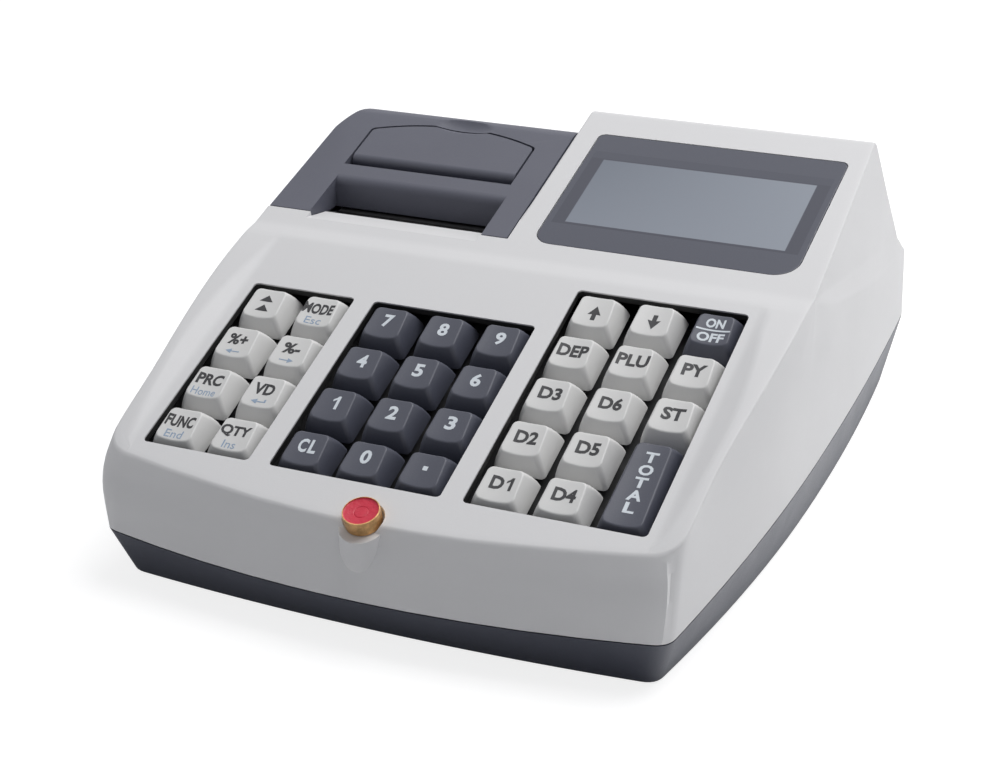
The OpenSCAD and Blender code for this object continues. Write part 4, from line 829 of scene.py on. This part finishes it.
def cover_plan(name, grow=0.0):
    """Plan of the printer cover as a tall solid: its rear left corner is a quarter of an ellipse."""
    quarter = [90 * k / 16 for k in range(17)]
    arc = [(CORNER_X - (CORNER_W + grow) * cos(a), CORNER_S + (CORNER_D + grow) * sin(a)) for a in quarter]
    line = [(-BEYOND, -20), (20, -20), (20, arc[-1][1]), *reversed(arc), (-BEYOND, arc[0][1])]
    return prism(name, line, -60, 60, HOOD_FRAME)


def key_y(row, rows=1):
    return ROW_FIRST + (row + (rows - 1) / 2) * PITCH


def window_cutter(block, columns, rows):
    half = ((columns - 1) * PITCH + CAP_W) / 2 + WINDOW_GAP
    front = key_y(0) - CAP_D / 2 - WINDOW_GAP
    back = front + (rows - 1) * PITCH + CAP_D + 2 * WINDOW_GAP
    outline = rounded_box(block - half, block + half, front, back, [1.6] * 4)
    return prism("window", outline, -20, 20, DECK_FRAME)


def lens_outline(gap=0.0):
    """Outline of the display window in the hood's frame, grown by a gap."""
    radii = [r + gap for r in (6, 8, 2.4, 2.4)]
    return rounded_box(LENS_X - LENS_W / 2 - gap, LENS_X + LENS_W / 2 + gap,
                       LENS_S - gap, LENS_S + LENS_H + gap, radii, 10)


def lip_outline(depth):
    """Plan of the lip under the ticket exit."""
    left, right = EXIT_LEFT + COVER_GAP, EXIT_RIGHT - COVER_GAP
    return [(left, 0), (right, 0), (right, depth), (left, depth)]


def cone(name, rings, place, count=48):
    """Closed round solid through (radius, height) pairs."""
    return ring_solid(name, [[place @ Vector((*p, z)) for p in circle(0, 0, r, count)] for r, z in rings])


def turned(name, r, left, right):
    """Rod on the cover's hinge axis, from one x to another."""
    return side_prism(name, circle(*HINGE, r), left, right)


EAR_LEFT = EAR_IN - side_x(outline_at(PARTING, TOP, (HINGE[1] - TUB_H) / (TOP_Z - TUB_H)), HINGE[0])
upper = build_case()
inside = build_case(WALL, ROOF, 0.6, -3, fine=False)
hatch = carve(side_prism("cover_space", cover_space(COVER_GAP), -BEYOND, SEAM_X),
              common=[cover_plan("hatch_plan", COVER_GAP)])
STEP_FRONT, STEP_REAR = 45.0, 79.2
corner_step = [(-BEYOND, STEP_FRONT), (CORNER_X, STEP_FRONT), (CORNER_X, STEP_REAR), (-BEYOND, STEP_REAR)]
carve(upper, [
    inside,
    hatch,
    prism("corner_step", corner_step, -CORNER_DROP, 60, HOOD_FRAME),
    *(window_cutter(*w) for w in ((LEFT_BLOCK, 2, 4), (MIDDLE_BLOCK, 3, 4), (RIGHT_BLOCK, 3, 5))),
    prism("lens_seat", lens_outline(LENS_GAP), -LENS_T, 20, HOOD_FRAME),
])
# The seal sits square to the deck, and the boss under it stands upright
seal_place = DECK_FRAME @ Matrix.Translation((0, -SEAL_AHEAD, SEAL_PROUD - SEAL_H))
upright = Matrix.Translation(seal_place.translation + Vector((0, -0.85, 0)))
boss_rings = [(BOSS_R, 8), (BOSS_R, -6.5), (BOSS_R - 0.3, -9), (5.7, -12), (3.6, -15.5)]
boss_top = prism("boss_top", circle(0, 0, 12), 0.1, 30, seal_place)
boss = carve(cone("seal_boss", boss_rings, upright), [boss_top])
ear_arm = on_hood([(HINGE_S - 16, -14), (HINGE_S, -14), (HINGE_S, -7), (HINGE_S - 16, -7)])
carve(upper, [
    prism("lip_cut", lip_outline(20), 0, 20, LIP_FRAME),
    cone("seal_seat", [(SEAL_R - 0.1, 0.05), (SEAL_R + 0.6, 2.1), (SEAL_R + 0.6, 40)], seal_place),
    turned("left_bore", PIN_R, EAR_LEFT - 1, EAR_LEFT + EAR_T + 1),
    turned("right_bore", PIN_R, SEAM_X - 1, SEAM_X + WALL + 1),
], [
    boss,
    prism("tongue", lip_outline(LIP_LEN), -LIP_T, -0.05, LIP_FRAME),
    turned("ear", EAR_R, EAR_LEFT, EAR_LEFT + EAR_T),
    side_prism("ear_arm", ear_arm, EAR_LEFT, EAR_LEFT + EAR_T),
])
finish_piece(upper, "case", "case_light", "upper_case", angle=32)

# ---- keys ----
CAP_SIDE_IN, CAP_END_IN, CAP_BULGE, CAP_CORNER = 2.25, 2.65, 0.32, 1.4
CAP_DISH_R, CAP_RISE, CAP_INSIDE, CAP_EDGE_R = 26.0, 7.0, 4.0, 0.45
PLUNGER_R, PLUNGER_END = 3.0, CAP_H - CAP_PROUD - 12.8
DISH_SAG = CAP_DISH_R - math.sqrt(CAP_DISH_R ** 2 - CAP_TOP ** 2 / 4)


def cap_top(x, y, rows):
    """Height of a key's dished top above its base."""
    depth = CAP_TOP + (rows - 1) * PITCH
    dish = CAP_DISH_R - DISH_SAG - math.sqrt(CAP_DISH_R ** 2 - x * x)
    return CAP_H + (y + depth / 2) * tan(CAP_RISE / rows) + dish


def cap_ring(level, rows, inset=0.0):
    """Outline of a key at a height, given as a share of its height."""
    bulge = 4 * CAP_BULGE * level * (1 - level) - inset
    w = CAP_W / 2 - CAP_SIDE_IN * level + bulge
    d = (CAP_D + (rows - 1) * PITCH) / 2 - CAP_END_IN * level + bulge
    ends = rounded_box(-w, w, -d, d, [lerp(CAP_CORNER, 1.7, level)] * 4, 5)
    out = []
    for k, p in enumerate(ends):
        out.append(p)
        if k % 5 == 4:
            q = ends[(k + 1) % len(ends)]
            out += [(lerp(p[0], q[0], t / 6), lerp(p[1], q[1], t / 6)) for t in range(1, 6)]
    return out


def cap_line(k, rows):
    """Points of a key from its plunger over its base edge and its side to the middle of its top."""
    level = 1.0
    for _ in range(4):
        x, y = cap_ring(level, rows)[k]
        level = cap_top(x, y, rows) / CAP_H
    side = [Vector((*cap_ring(level * f, rows)[k], CAP_H * level * f)) for f in (0, 0.25, 0.5, 0.75)]
    edge = Vector((x, y, CAP_H * level))
    w, d = (max(p[axis] for p in cap_ring(level, rows)) for axis in (0, 1))

    def on_top(share, inset=1.7):
        tx, ty = x * (1 - inset / w) * share, y * (1 - inset / d) * share
        return Vector((tx, ty, cap_top(tx, ty, rows)))

    inner = [Vector((*cap_ring(0, rows, wall)[k], z)) for wall, z in ((1.5, 0), (2.2, CAP_INSIDE))]
    turn = math.atan2(inner[1].y, inner[1].x)
    rod = [Vector((PLUNGER_R * math.cos(turn), PLUNGER_R * math.sin(turn), z))
           for z in (PLUNGER_END, CAP_INSIDE)]
    return rod + inner[::-1] + side[:-1] + rounded([side[-1], edge, on_top(1)], [CAP_EDGE_R], [4]) \
        + [on_top(0.66), on_top(0.33)]


def cap_shape(rows):
    lines = [cap_line(k, rows) for k in range(len(cap_ring(0, rows)))]
    n, depth = len(lines), len(lines[0])
    points = [p for line in lines for p in line] + [Vector((0, 0, cap_top(0, 0, rows)))]
    faces = [tuple(k * depth for k in range(n))]
    for k in range(n):
        a, b = k * depth, (k + 1) % n * depth
        faces += [(a + m, a + m + 1, b + m + 1, b + m) for m in range(depth - 1)]
        faces.append((a + depth - 1, len(points) - 1, b + depth - 1))
    return points, faces


def flat_text(text, weight=0.02):
    """Letters as flat faces in x and y."""
    curve = bpy.data.curves.new("letters", "FONT")
    curve.body, curve.offset, curve.resolution_u = text, weight, 3
    obj = bpy.data.objects.new("letters", curve)
    bpy.context.scene.collection.objects.link(obj)
    bpy.context.view_layer.update()
    mesh = bpy.data.meshes.new_from_object(obj.evaluated_get(bpy.context.evaluated_depsgraph_get()))
    shape = [tuple(v.co) for v in mesh.vertices], [tuple(p.vertices) for p in mesh.polygons]
    bpy.data.objects.remove(obj)
    bpy.data.curves.remove(curve)
    bpy.data.meshes.remove(mesh)
    return shape


def flat_shape(*outlines):
    points, faces = [], []
    for outline in outlines:
        faces.append(tuple(range(len(points), len(points) + len(outline))))
        points += [(x, y, 0) for x, y in outline]
    return points, faces


ONE = [(0.06, -0.5), (0.5, -0.5), (0.5, 0.5), (0.14, 0.5),
       (-0.12, 0.34), (-0.5, 0.23), (-0.5, 0.06), (0.06, 0.24)]
ARROW = [(-0.5, 0), (-0.1, 0.5), (-0.1, 0.09), (0.5, 0.09), (0.5, -0.09), (-0.1, -0.09), (-0.1, -0.5)]
RETURN_BAR = [(0.38, 0.09), (0.38, 0.5), (0.5, 0.5), (0.5, 0.09)]
SHAPES = {
    "1": flat_shape(ONE),
    "up": flat_shape([(0, 0.5), (0.5, -0.12), (0.17, -0.08), (0.17, -0.5), (-0.17, -0.5), (-0.17, -0.08),
                      (-0.5, -0.12)]),
    "down": flat_shape([(0, -0.5), (-0.5, 0.12), (-0.17, 0.08), (-0.17, 0.5), (0.17, 0.5), (0.17, 0.08),
                        (0.5, 0.12)]),
    "left": flat_shape(ARROW),
    "right": flat_shape([(-x, y) for x, y in ARROW]),
    "return": flat_shape(ARROW, RETURN_BAR),
    "feed": flat_shape([(-0.5, 0.1), (0.5, 0.1), (0, 0.5)], [(-0.5, -0.5), (0.5, -0.5), (0, -0.1)]),
    "bar": flat_shape([(-0.5, -0.5), (0.5, -0.5), (0.5, 0.5), (-0.5, 0.5)]),
}


SLICE, PRINT_LIFT, PRINT_T = 0.7, 0.025, 0.08


def print_on_key(name, body, place, rows, slot, ink, marks):
    """Raised print on a key's top. Each mark: letters or a shape, middle x and y, width, height."""
    work = bmesh.new()
    for mark, cx, cy, width, height in marks:
        points, faces = SHAPES.get(mark) or flat_text(mark, 0.0 if ink == "blue" else 0.035)
        lows, highs = ([pick(p[axis] for p in points) for axis in (0, 1)] for pick in (min, max))
        verts = [work.verts.new((cx + ((x - lows[0]) / (highs[0] - lows[0]) - 0.5) * width,
                                 cy + ((y - lows[1]) / (highs[1] - lows[1]) - 0.5) * height, 0))
                 for x, y, _ in points]
        for face in faces:
            work.faces.new([verts[k] for k in face])
    # slices, so that the print can follow the dished top
    for step in range(-9, 10):
        bmesh.ops.bisect_plane(work, geom=[*work.verts, *work.edges, *work.faces], dist=1e-5,
                               plane_co=(step * SLICE, 0, 0), plane_no=(1, 0, 0))
    bmesh.ops.recalc_face_normals(work, faces=work.faces)
    for v in work.verts:
        v.co.z = cap_top(v.co.x, v.co.y, rows) + PRINT_LIFT
    mesh = bpy.data.meshes.new(name)
    work.to_mesh(mesh)
    work.free()
    piece = bpy.data.objects.new(name, mesh)
    bpy.context.scene.collection.objects.link(piece)
    thick = piece.modifiers.new("thick", "SOLIDIFY")
    thick.thickness, thick.offset = PRINT_T, 0
    bake(piece)
    piece.data.transform(place)
    return finish_piece(piece, body, slot, material=INKS[ink])


def words(text, width, low=None, low_width=0.0, low_height=2.8):
    """Marks of a key of the left block: a word, and a small second one in front of it."""
    marks = [("black", text, -0.3, 0.75, width, 4.3)]
    return marks + [("blue", low, -0.3, -4.1, low_width, low_height)] if low else marks


def middle(text, width, height=4.6):
    return [("black", text, 0.25, 0.2, width, height)]


def digit(text, width=3.3):
    return [("white", text, 0.15, 0.5, width, 5.0)]


def column_of_letters(letters):
    return [("white", letter, 0.3, y, width, 3.9) for letter, y, width in letters]


def single_keys(block, columns, dark, keys):
    """Keys of a block that cover one row each, from their names, columns, rows and marks."""
    return [(f"key_{name}", block, columns, column, row, 1, dark, marks) for name, column, row, marks in keys]


# Each key: name, block, columns in the block, column, row, rows that it covers, dark cap, marks
KEYS = single_keys(LEFT_BLOCK, 2, False, (
    ("func", 0, 0, words("FUNC", 9.6, "End", 5.9)),
    ("qty", 1, 0, words("QTY", 9.8, "Ins", 4.3)),
    ("prc", 0, 1, words("PRC", 8.8, "Home", 8.2)),
    ("vd", 1, 1, words("VD", 6.9, "return", 5.0, 1.9)),
    ("percent_plus", 0, 2, words("%+", 6.6, "left", 4.8, 1.8)),
    ("percent_minus", 1, 2, words("%-", 6.0, "right", 4.8, 1.8)),
    ("feed", 0, 3, [("black", "feed", -0.2, -0.2, 4.6, 6.6)]),
    ("mode", 1, 3, words("MODE", 10.4, "Esc", 5.6)),
))
KEYS += single_keys(MIDDLE_BLOCK, 3, True, (
    ("cl", 0, 0, [("white", "C", -1.35, 0.5, 2.9, 5.0), ("white", "L", 2.0, 0.5, 2.5, 5.0)]),
    ("0", 1, 0, digit("0")),
    ("dot", 2, 0, [("white", "bar", 0.2, 0.4, 1.5, 1.5)]),
    *((str(n), (n - 1) % 3, (n + 2) // 3, digit(str(n), 2.1 if n == 1 else 3.3)) for n in range(1, 10)),
))
KEYS += single_keys(RIGHT_BLOCK, 3, False, (
    ("d1", 0, 0, [("black", "D", -1.15, 0.2, 4.0, 4.6), ("black", "1", 2.55, 0.2, 2.0, 4.6)]),
    ("d4", 1, 0, middle("D4", 7.0)),
    ("d2", 0, 1, middle("D2", 7.0)),
    ("d5", 1, 1, middle("D5", 7.0)),
    ("d3", 0, 2, middle("D3", 7.0)),
    ("d6", 1, 2, middle("D6", 7.0)),
    ("st", 2, 2, middle("ST", 6.9)),
    ("dep", 0, 3, middle("DEP", 9.6)),
    ("plu", 1, 3, middle("PLU", 10.0)),
    ("py", 2, 3, middle("PY", 7.2)),
    ("up", 0, 4, [("black", "up", 0.4, -0.9, 4.2, 5.6)]),
    ("down", 1, 4, [("black", "down", 0.4, -0.9, 4.2, 5.6)]),
))
TOTAL_MARKS = column_of_letters(
    (("T", 9.7, 3.9), ("O", 4.9, 4.3), ("T", 0.2, 3.9), ("A", -4.6, 4.4), ("L", -9.2, 3.3)))
ON_OFF_MARKS = [("white", "ON", 0.1, 2.1, 5.9, 3.6), ("white", "bar", 0.1, -0.65, 10.6, 0.6),
                ("white", "OFF", 0.1, -3.5, 8.4, 3.5)]
KEYS += [
    ("key_total", RIGHT_BLOCK, 3, 2, 0, 2, True, TOTAL_MARKS),
    ("key_on_off", RIGHT_BLOCK, 3, 2, 4, 1, True, ON_OFF_MARKS),
]
CAPS = {rows: cap_shape(rows) for rows in (1, 2)}
for name, block, columns, column, row, rows, dark, marks in KEYS:
    x, y = block + (column - (columns - 1) / 2) * PITCH, key_y(row, rows)
    place = DECK_FRAME @ Matrix.Translation((x, y, CAP_PROUD - CAP_H))
    slot_name = "key_dark" if dark else "key_light"
    cap = solid(name + "_cap", [place @ p for p in CAPS[rows][0]], CAPS[rows][1])
    finish_piece(cap, name, slot_name, name, angle=50)
    for ink in sorted({m[0] for m in marks}):
        same_ink = [m[1:] for m in marks if m[0] == ink]
        print_on_key(f"{name}_{ink}", name, place, rows, slot_name, ink, same_ink)

# ---- printer cover and its lever ----
COVER_WALL, EXIT_WALL, WELL_FRONT, WELL_DEPTH, WELL_WALL = 2.2, 1.8, 38.0, 6.0, 1.8
LEVER_ROLL_R, LEVER_T = 2.6, 2.0
DISH_S, DISH_DEEP, DISH_HALF = 68.4, 1.8, (11.6, 4.8)
LEVER_GAP, WEB_T, ROLL_END, EXIT_EDGE_R = 0.8, 2.2, 20.0, 2.5
LEVER_X = (LEVER_LEFT + LEVER_RIGHT) / 2


def across_cover(name, outline, inset=0.0):
    """Solid over a side view, from the case's left wall to the cover's right edge."""
    return ring_solid(name, [[(inset - side_x(upper_outline(y, z), y), y, z) for y, z in outline],
                          [(COVER_RIGHT - inset, y, z) for y, z in outline]])


def roll(r, start, end, steps=32):
    """Arc round the hinge axis in the hood's frame, from one angle to another."""
    angles = [lerp(start, end, k / steps) for k in range(steps + 1)]
    return [(HINGE_S + r * cos(a), r * sin(a) - HINGE_R) for a in angles]


def lever_plan(front, grow):
    """Plan of the lever: straight front and sides, and a curved rear edge."""
    left, right = LEVER_LEFT - grow, LEVER_RIGHT + grow
    middle = LEVER_REAR - LEVER_ARC
    arc = [(x, middle + math.sqrt((LEVER_ARC + grow) ** 2 - (x - LEVER_X) ** 2))
           for x in (lerp(left, right, k / 24) for k in range(25))]
    line = rounded([(left, front, 0), *((x, s, 0) for x, s in arc), (right, front, 0)],
                   [4.5] + [0.02] * 23 + [2.0], [6] + [1] * 23 + [4])
    return [(p.x, p.y) for p in line]


def finger_dish():
    rings = [(t, DISH_DEEP * (t * t - 1)) for t in (0.02, 0.2, 0.4, 0.6, 0.8, 1.0, 1.2, 1.5)]
    place = HOOD_FRAME @ Matrix.Translation((LEVER_X + 1.4, DISH_S, 0)) @ Matrix.Diagonal((*DISH_HALF, 1, 1))
    return cone("dish", rings, place)


low_rise = HINGE_R - COVER_DROP
low_start = math.degrees(math.atan2(low_rise, -math.sqrt(HINGE_R ** 2 - low_rise ** 2)))
cover = across_cover("printer_cover_shell", on_hood(
    [(COVER_FRONT, 0), (COVER_FRONT, -COVER_DROP)] + roll(HINGE_R, low_start, 450)))
inner_r = HINGE_R - COVER_WALL
roll_low = HINGE_R * sin(ROLL_END)
hollow = on_hood([(COVER_FRONT + COVER_WALL, -50), (COVER_FRONT + COVER_WALL, -COVER_WALL)]
                 + roll(inner_r, 90, -math.degrees(math.asin(roll_low / inner_r)))
                 + [(HINGE_S + HINGE_R + 1, -HINGE_R - roll_low), (HINGE_S + HINGE_R + 1, -50)])
carve(cover, common=[cover_plan("outer_plan")])
room = carve(across_cover("cover_hollow", hollow, COVER_WALL), common=[cover_plan("inner_plan", -COVER_WALL)])
carve(cover, [room, turned("ear_room", EAR_R + 0.4, -BEYOND, EAR_LEFT + EAR_T + 0.4)])
exit_front, exit_back = (hood_point(s)[0] for s in (COVER_FRONT, EXIT_BACK))


def hood_z(y):
    return HOOD[1] + (y - HOOD[0]) * tan(HOOD_TILT)


exit_top, exit_low = hood_z(exit_back), EXIT_FLOOR_Z - 20
exit_edge = rounded([(exit_back, exit_low), (exit_back, exit_top), (exit_back + 10, hood_z(exit_back + 10))],
                    [EXIT_EDGE_R], [6])[1:-1]
exit_cut = [(exit_front - 20, exit_low), (exit_back, exit_low), *exit_edge, (exit_edge[-1][0], exit_top + 20),
            (exit_front - 20, exit_top + 20)]
wall_y = exit_back + EXIT_WALL
exit_walls = [(exit_front, EXIT_FLOOR_Z), (wall_y, EXIT_FLOOR_Z), (wall_y, hood_z(wall_y) - 0.1),
              (exit_front, hood_z(exit_front) - 0.1)]
web_x = EAR_LEFT + EAR_T + 0.4
carve(cover, [
    side_prism("exit_cut", exit_cut, EXIT_LEFT, EXIT_RIGHT),
    prism("well", lever_plan(WELL_FRONT, LEVER_GAP), -WELL_DEPTH, 20, HOOD_FRAME),
    finger_dish(),
], [
    side_prism("exit_walls", exit_walls, EXIT_LEFT - EXIT_WALL, EXIT_RIGHT + EXIT_WALL),
    prism("well_walls", lever_plan(WELL_FRONT - WELL_WALL, LEVER_GAP + WELL_WALL), -WELL_DEPTH - 1.2, -0.1,
          HOOD_FRAME),
    turned("web", HINGE_R - 0.1, web_x, web_x + WEB_T),
    turned("left_pin", PIN_R - 0.08, EAR_LEFT + 0.4, web_x + 0.1),
    turned("right_pin", PIN_R - 0.08, COVER_RIGHT - 0.1, SEAM_X + WALL - 0.4),
])
bevel(cover, 0.5, 3, 40)
finish_piece(cover, "cover", "cover_grey", "printer_cover")

axis_s = LEVER_FRONT + LEVER_ROLL_R
round_front = [(axis_s + LEVER_ROLL_R * cos(a), LEVER_ROLL_R * (sin(a) - 1)) for a in range(300, 80, -10)]
profile = [(axis_s + 3, -LEVER_T), (axis_s + 1, -LEVER_T - 0.6), *round_front,
           (LEVER_REAR + 3, 0), (LEVER_REAR + 3, -LEVER_T)]
lever = side_prism("release_lever", on_hood(profile), LEVER_LEFT, LEVER_RIGHT)
plan = prism("lever_plan", lever_plan(LEVER_FRONT - 1, 0), -8, 2, HOOD_FRAME)
carve(lever, [finger_dish()], common=[plan])
bevel(lever, 0.4, 2, 40)
finish_piece(lever, "lever", "cover_grey", "cover_lever")

# ---- display window ----
lens = bevel(prism("display_window", lens_outline(), 0.05 - LENS_T, 0.0, HOOD_FRAME), 0.3, 2, 60)
finish_piece(lens, "case", "lens", "display_lens")

# ---- seal ----
CUP_R, CUP_RIM, WAX_SUNK = 5.5, 0.28, 0.55
cup_in, wax_z = CUP_R - CUP_RIM, SEAL_H - WAX_SUNK
cup = cone("seal_cup_shell", [(CUP_R - 0.3, 0.1), (CUP_R, 0.4), (CUP_R, SEAL_H - 0.12),
                              (CUP_R - 0.12, SEAL_H), (cup_in, SEAL_H), (cup_in, 1.2)], seal_place, 64)
finish_piece(cup, "case", "brass", "seal_cup", angle=40)
wax = cone("seal_wax_top", [(4.6, 1.3), (cup_in - 0.02, 1.6), (cup_in - 0.02, SEAL_H - 0.3),
                            (cup_in - 0.5, wax_z), (2.4, wax_z), (2.1, wax_z - 0.25), (1.8, wax_z)],
           seal_place, 64)
finish_piece(wax, "case", "wax", "seal_wax", angle=60)

# ---- lower case ----
TUB_Z, TUB_EDGE = 0.2, 0.9
DOOR, DOOR_DEEP = (17.7, 86.3, 63.2, 107.8), 4.05
FOOT_SEAT_R, FOOT_SEAT_H, SCREW_BORE_R, SCREW_BORE_H = 7.3, 2.6, 3.3, 7.0
FEET = [(x, y) for x in (-70.2, 70.2) for y in (-106.5, 114.5)]
REAR_SCREWS = [(x, 112.5) for x in (-80, 80)]
# Each socket: x, width, height
SOCKET_GAP, SOCKET_LOW, SOCKET_BASE = 0.4, 10.6, 11.4
SOCKETS = [(-60, 10, 9), (-38, 13.5, 11), (-14, 13.5, 11)]


def plan_ring(o, inset=0.0, count=22):
    """Closed plan of an outline of the case with its corners rounded."""
    runs = [[(side, lerp(a, b, k / count)) for k in range(count + 1)] for side, a, b in
            (("front", Q_FRONT - 1, 1 - Q_FRONT), ("right", Q_SIDE, 1 - Q_SIDE),
             ("back", 1 - Q_FRONT, Q_FRONT - 1), ("left", 1 - Q_SIDE, Q_SIDE))]
    tips = ((("front", 1), ("right", 0)), (("right", 1), ("back", 1)),
            (("back", -1), ("left", 1)), (("left", 0), ("front", -1)))
    ring = []
    for run, after, tip in zip(runs, [*runs[1:], runs[0]], tips):
        ring += [Vector(wall_point(*spot, o)) for spot in run]
        start, end = ring[-1], Vector(wall_point(*after[0], o))
        middle = (Vector(wall_point(*tip[0], o)) + Vector(wall_point(*tip[1], o))) / 2
        ring += [bend(start, middle, end, t) for t in SIXTHS]
    normals = [Vector((b.y - a.y, a.x - b.x)).normalized()
               for a, b in zip([ring[-1], *ring[:-1]], [*ring[1:], ring[0]])]
    return [p - n * inset for p, n in zip(ring, normals)]


def tub(name, inset, floor, edge, rise=0.0):
    """Closed form of the lower case, from its floor to the parting line."""
    low, high = plan_ring(BOTTOM, inset), plan_ring(PARTING, inset)
    lines = []
    for k, (p, q) in enumerate(zip(low, high)):
        foot, head = Vector((*p, floor)), Vector((*q, parting_z(q.y) + rise))
        inward = Vector((-p.x, -p.y, 0)).normalized()
        lines.append(rounded([foot + inward * 2 * edge, foot, head], [edge], [4]))
    n, depth = len(lines), len(lines[0])
    faces = [(k * depth + m, k * depth + m + 1, (k + 1) % n * depth + m + 1, (k + 1) % n * depth + m)
             for k in range(n) for m in range(depth - 1)]
    faces += [tuple(k * depth for k in range(n)), tuple(k * depth + depth - 1 for k in range(n))]
    return solid(name, [p for line in lines for p in line], faces)


lower = carve(tub("lower_case_shell", 0, TUB_Z, TUB_EDGE), [
    tub("tub_room", WALL, BOTTOM_Z + WALL, 0.5, 3),
    prism("door_room", rounded_box(*DOOR, [0.8] * 4), -1, DOOR_DEEP),
    *(prism("socket_cut", rounded_box(x - w / 2 - SOCKET_GAP, x + w / 2 + SOCKET_GAP, 124, 140, [0.01] * 4,
                                      2), SOCKET_LOW, SOCKET_BASE + h) for x, w, h in SOCKETS),
    *(prism("foot_seat", circle(x, y, FOOT_SEAT_R), -1, FOOT_SEAT_H) for x, y in FEET),
    *(prism("screw_bore", circle(x, y, SCREW_BORE_R), -1, SCREW_BORE_H) for x, y in REAR_SCREWS),
])
bevel(lower, 0.4, 2, 40)
finish_piece(lower, "case", "case_dark", "lower_case")

# ---- screws and inner parts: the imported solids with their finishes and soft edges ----
SOFT_EDGES = dict(rubber_feet=0.5, battery_door=0.4, rear_sockets=0.2)
replaced = {"upper_case", "lower_case", "seal_cup", "seal_wax", "printer_cover", "cover_lever",
            "display_lens", *(key[0] for key in KEYS)}
for name, obj in frame["nodes"].items():
    slot_name = next(p["material_slot"] for p in frame["record"]["subparts"] if p["node"] == name)
    if name not in replaced:
        obj.data.materials.clear()
        obj.data.materials.append(FINISHES[slot_name])
    if name in SOFT_EDGES:
        step = obj.modifiers.new("soften", "BEVEL")
        step.width, step.segments, step.limit_method = SOFT_EDGES[name] * MM, 2, "ANGLE"
        step.angle_limit, step.use_clamp_overlap = math.radians(35), True

# ---- camera, light and floor ----
camera = bpy.data.objects.new("camera", bpy.data.cameras.new("camera"))
bpy.context.scene.collection.objects.link(camera)
AZIMUTH, ELEVATION = 23.76, 22.49
look = Vector((-sin(AZIMUTH) * cos(ELEVATION), cos(AZIMUTH) * cos(ELEVATION), -sin(ELEVATION)))
camera.location = (0.24498, -0.58824, 0.29508)
camera.rotation_euler = look.to_track_quat("-Z", "Y").to_euler()
camera.data.sensor_width, camera.data.lens = 36.0, 74.16
camera.data.clip_start, camera.data.clip_end = 0.01, 50
bpy.context.scene.camera = camera


def lamp(name, place, aim, size, watts, colour=(1, 1, 1)):
    light = bpy.data.lights.new(name, "AREA")
    light.shape, light.size, light.energy, light.color = "SQUARE", size, watts, colour
    obj = bpy.data.objects.new(name, light)
    obj.location = place
    obj.rotation_euler = (Vector(aim) - Vector(place)).to_track_quat("-Z", "Y").to_euler()
    bpy.context.scene.collection.objects.link(obj)


lamp("key_light", (0.4, 0.5, 1.5), (0, 0, 0.05), 1.2, 24.5)
lamp("side_light", (1.1, 0.7, 0.6), (0, 0, 0.05), 0.7, 1.4)
lamp("front_light", (-1.6, -0.7, 0.7), (0, 0, 0.05), 0.8, 1.7)

WHITE = rgb(1.0, 1.0, 1.0)
world = bpy.data.worlds.new("studio")
bpy.context.scene.world = world
world.use_nodes = True
sky = Nodes(world.node_tree)
directly, otherwise = sky.seen()
sky.feed(world.node_tree.nodes["Background"].inputs["Color"],
         sky.mix(directly + otherwise, rgb(0.235, 0.243, 0.26), WHITE))

floor_mesh = bpy.data.meshes.new("floor")
floor_mesh.from_pydata([(-9, -9, 0), (9, -9, 0), (9, 9, 0), (-9, 9, 0)], [], [(0, 1, 2, 3)])
floor = bpy.data.objects.new("floor", floor_mesh)
bpy.context.scene.collection.objects.link(floor)
paper = Finish("floor", Roughness=0.9, Specular_IOR_Level=0.0, Emission_Strength=1.0)
directly, otherwise = paper.seen()
x = next(paper.axes())
# painted reflection: for reflected and refracted rays the floor glows only right of x = 0.1 m, so the case's
# right side shows a bright reflection; the camera sees the even white floor
reflected_floor_glow = paper.mix(otherwise * x.step(0.1, 0.04), rgb(0.0, 0.0, 0.0), rgb(0.9, 0.9, 0.9))
paper.set(Base_Color=paper.mix(directly, rgb(0.8, 0.8, 0.8), rgb(0.35, 0.35, 0.35)),
          Emission_Color=paper.mix(directly, reflected_floor_glow, rgb(0.8, 0.8, 0.8)))
floor_mesh.materials.append(paper.material)

bpy.context.scene.view_settings.view_transform = "Standard"
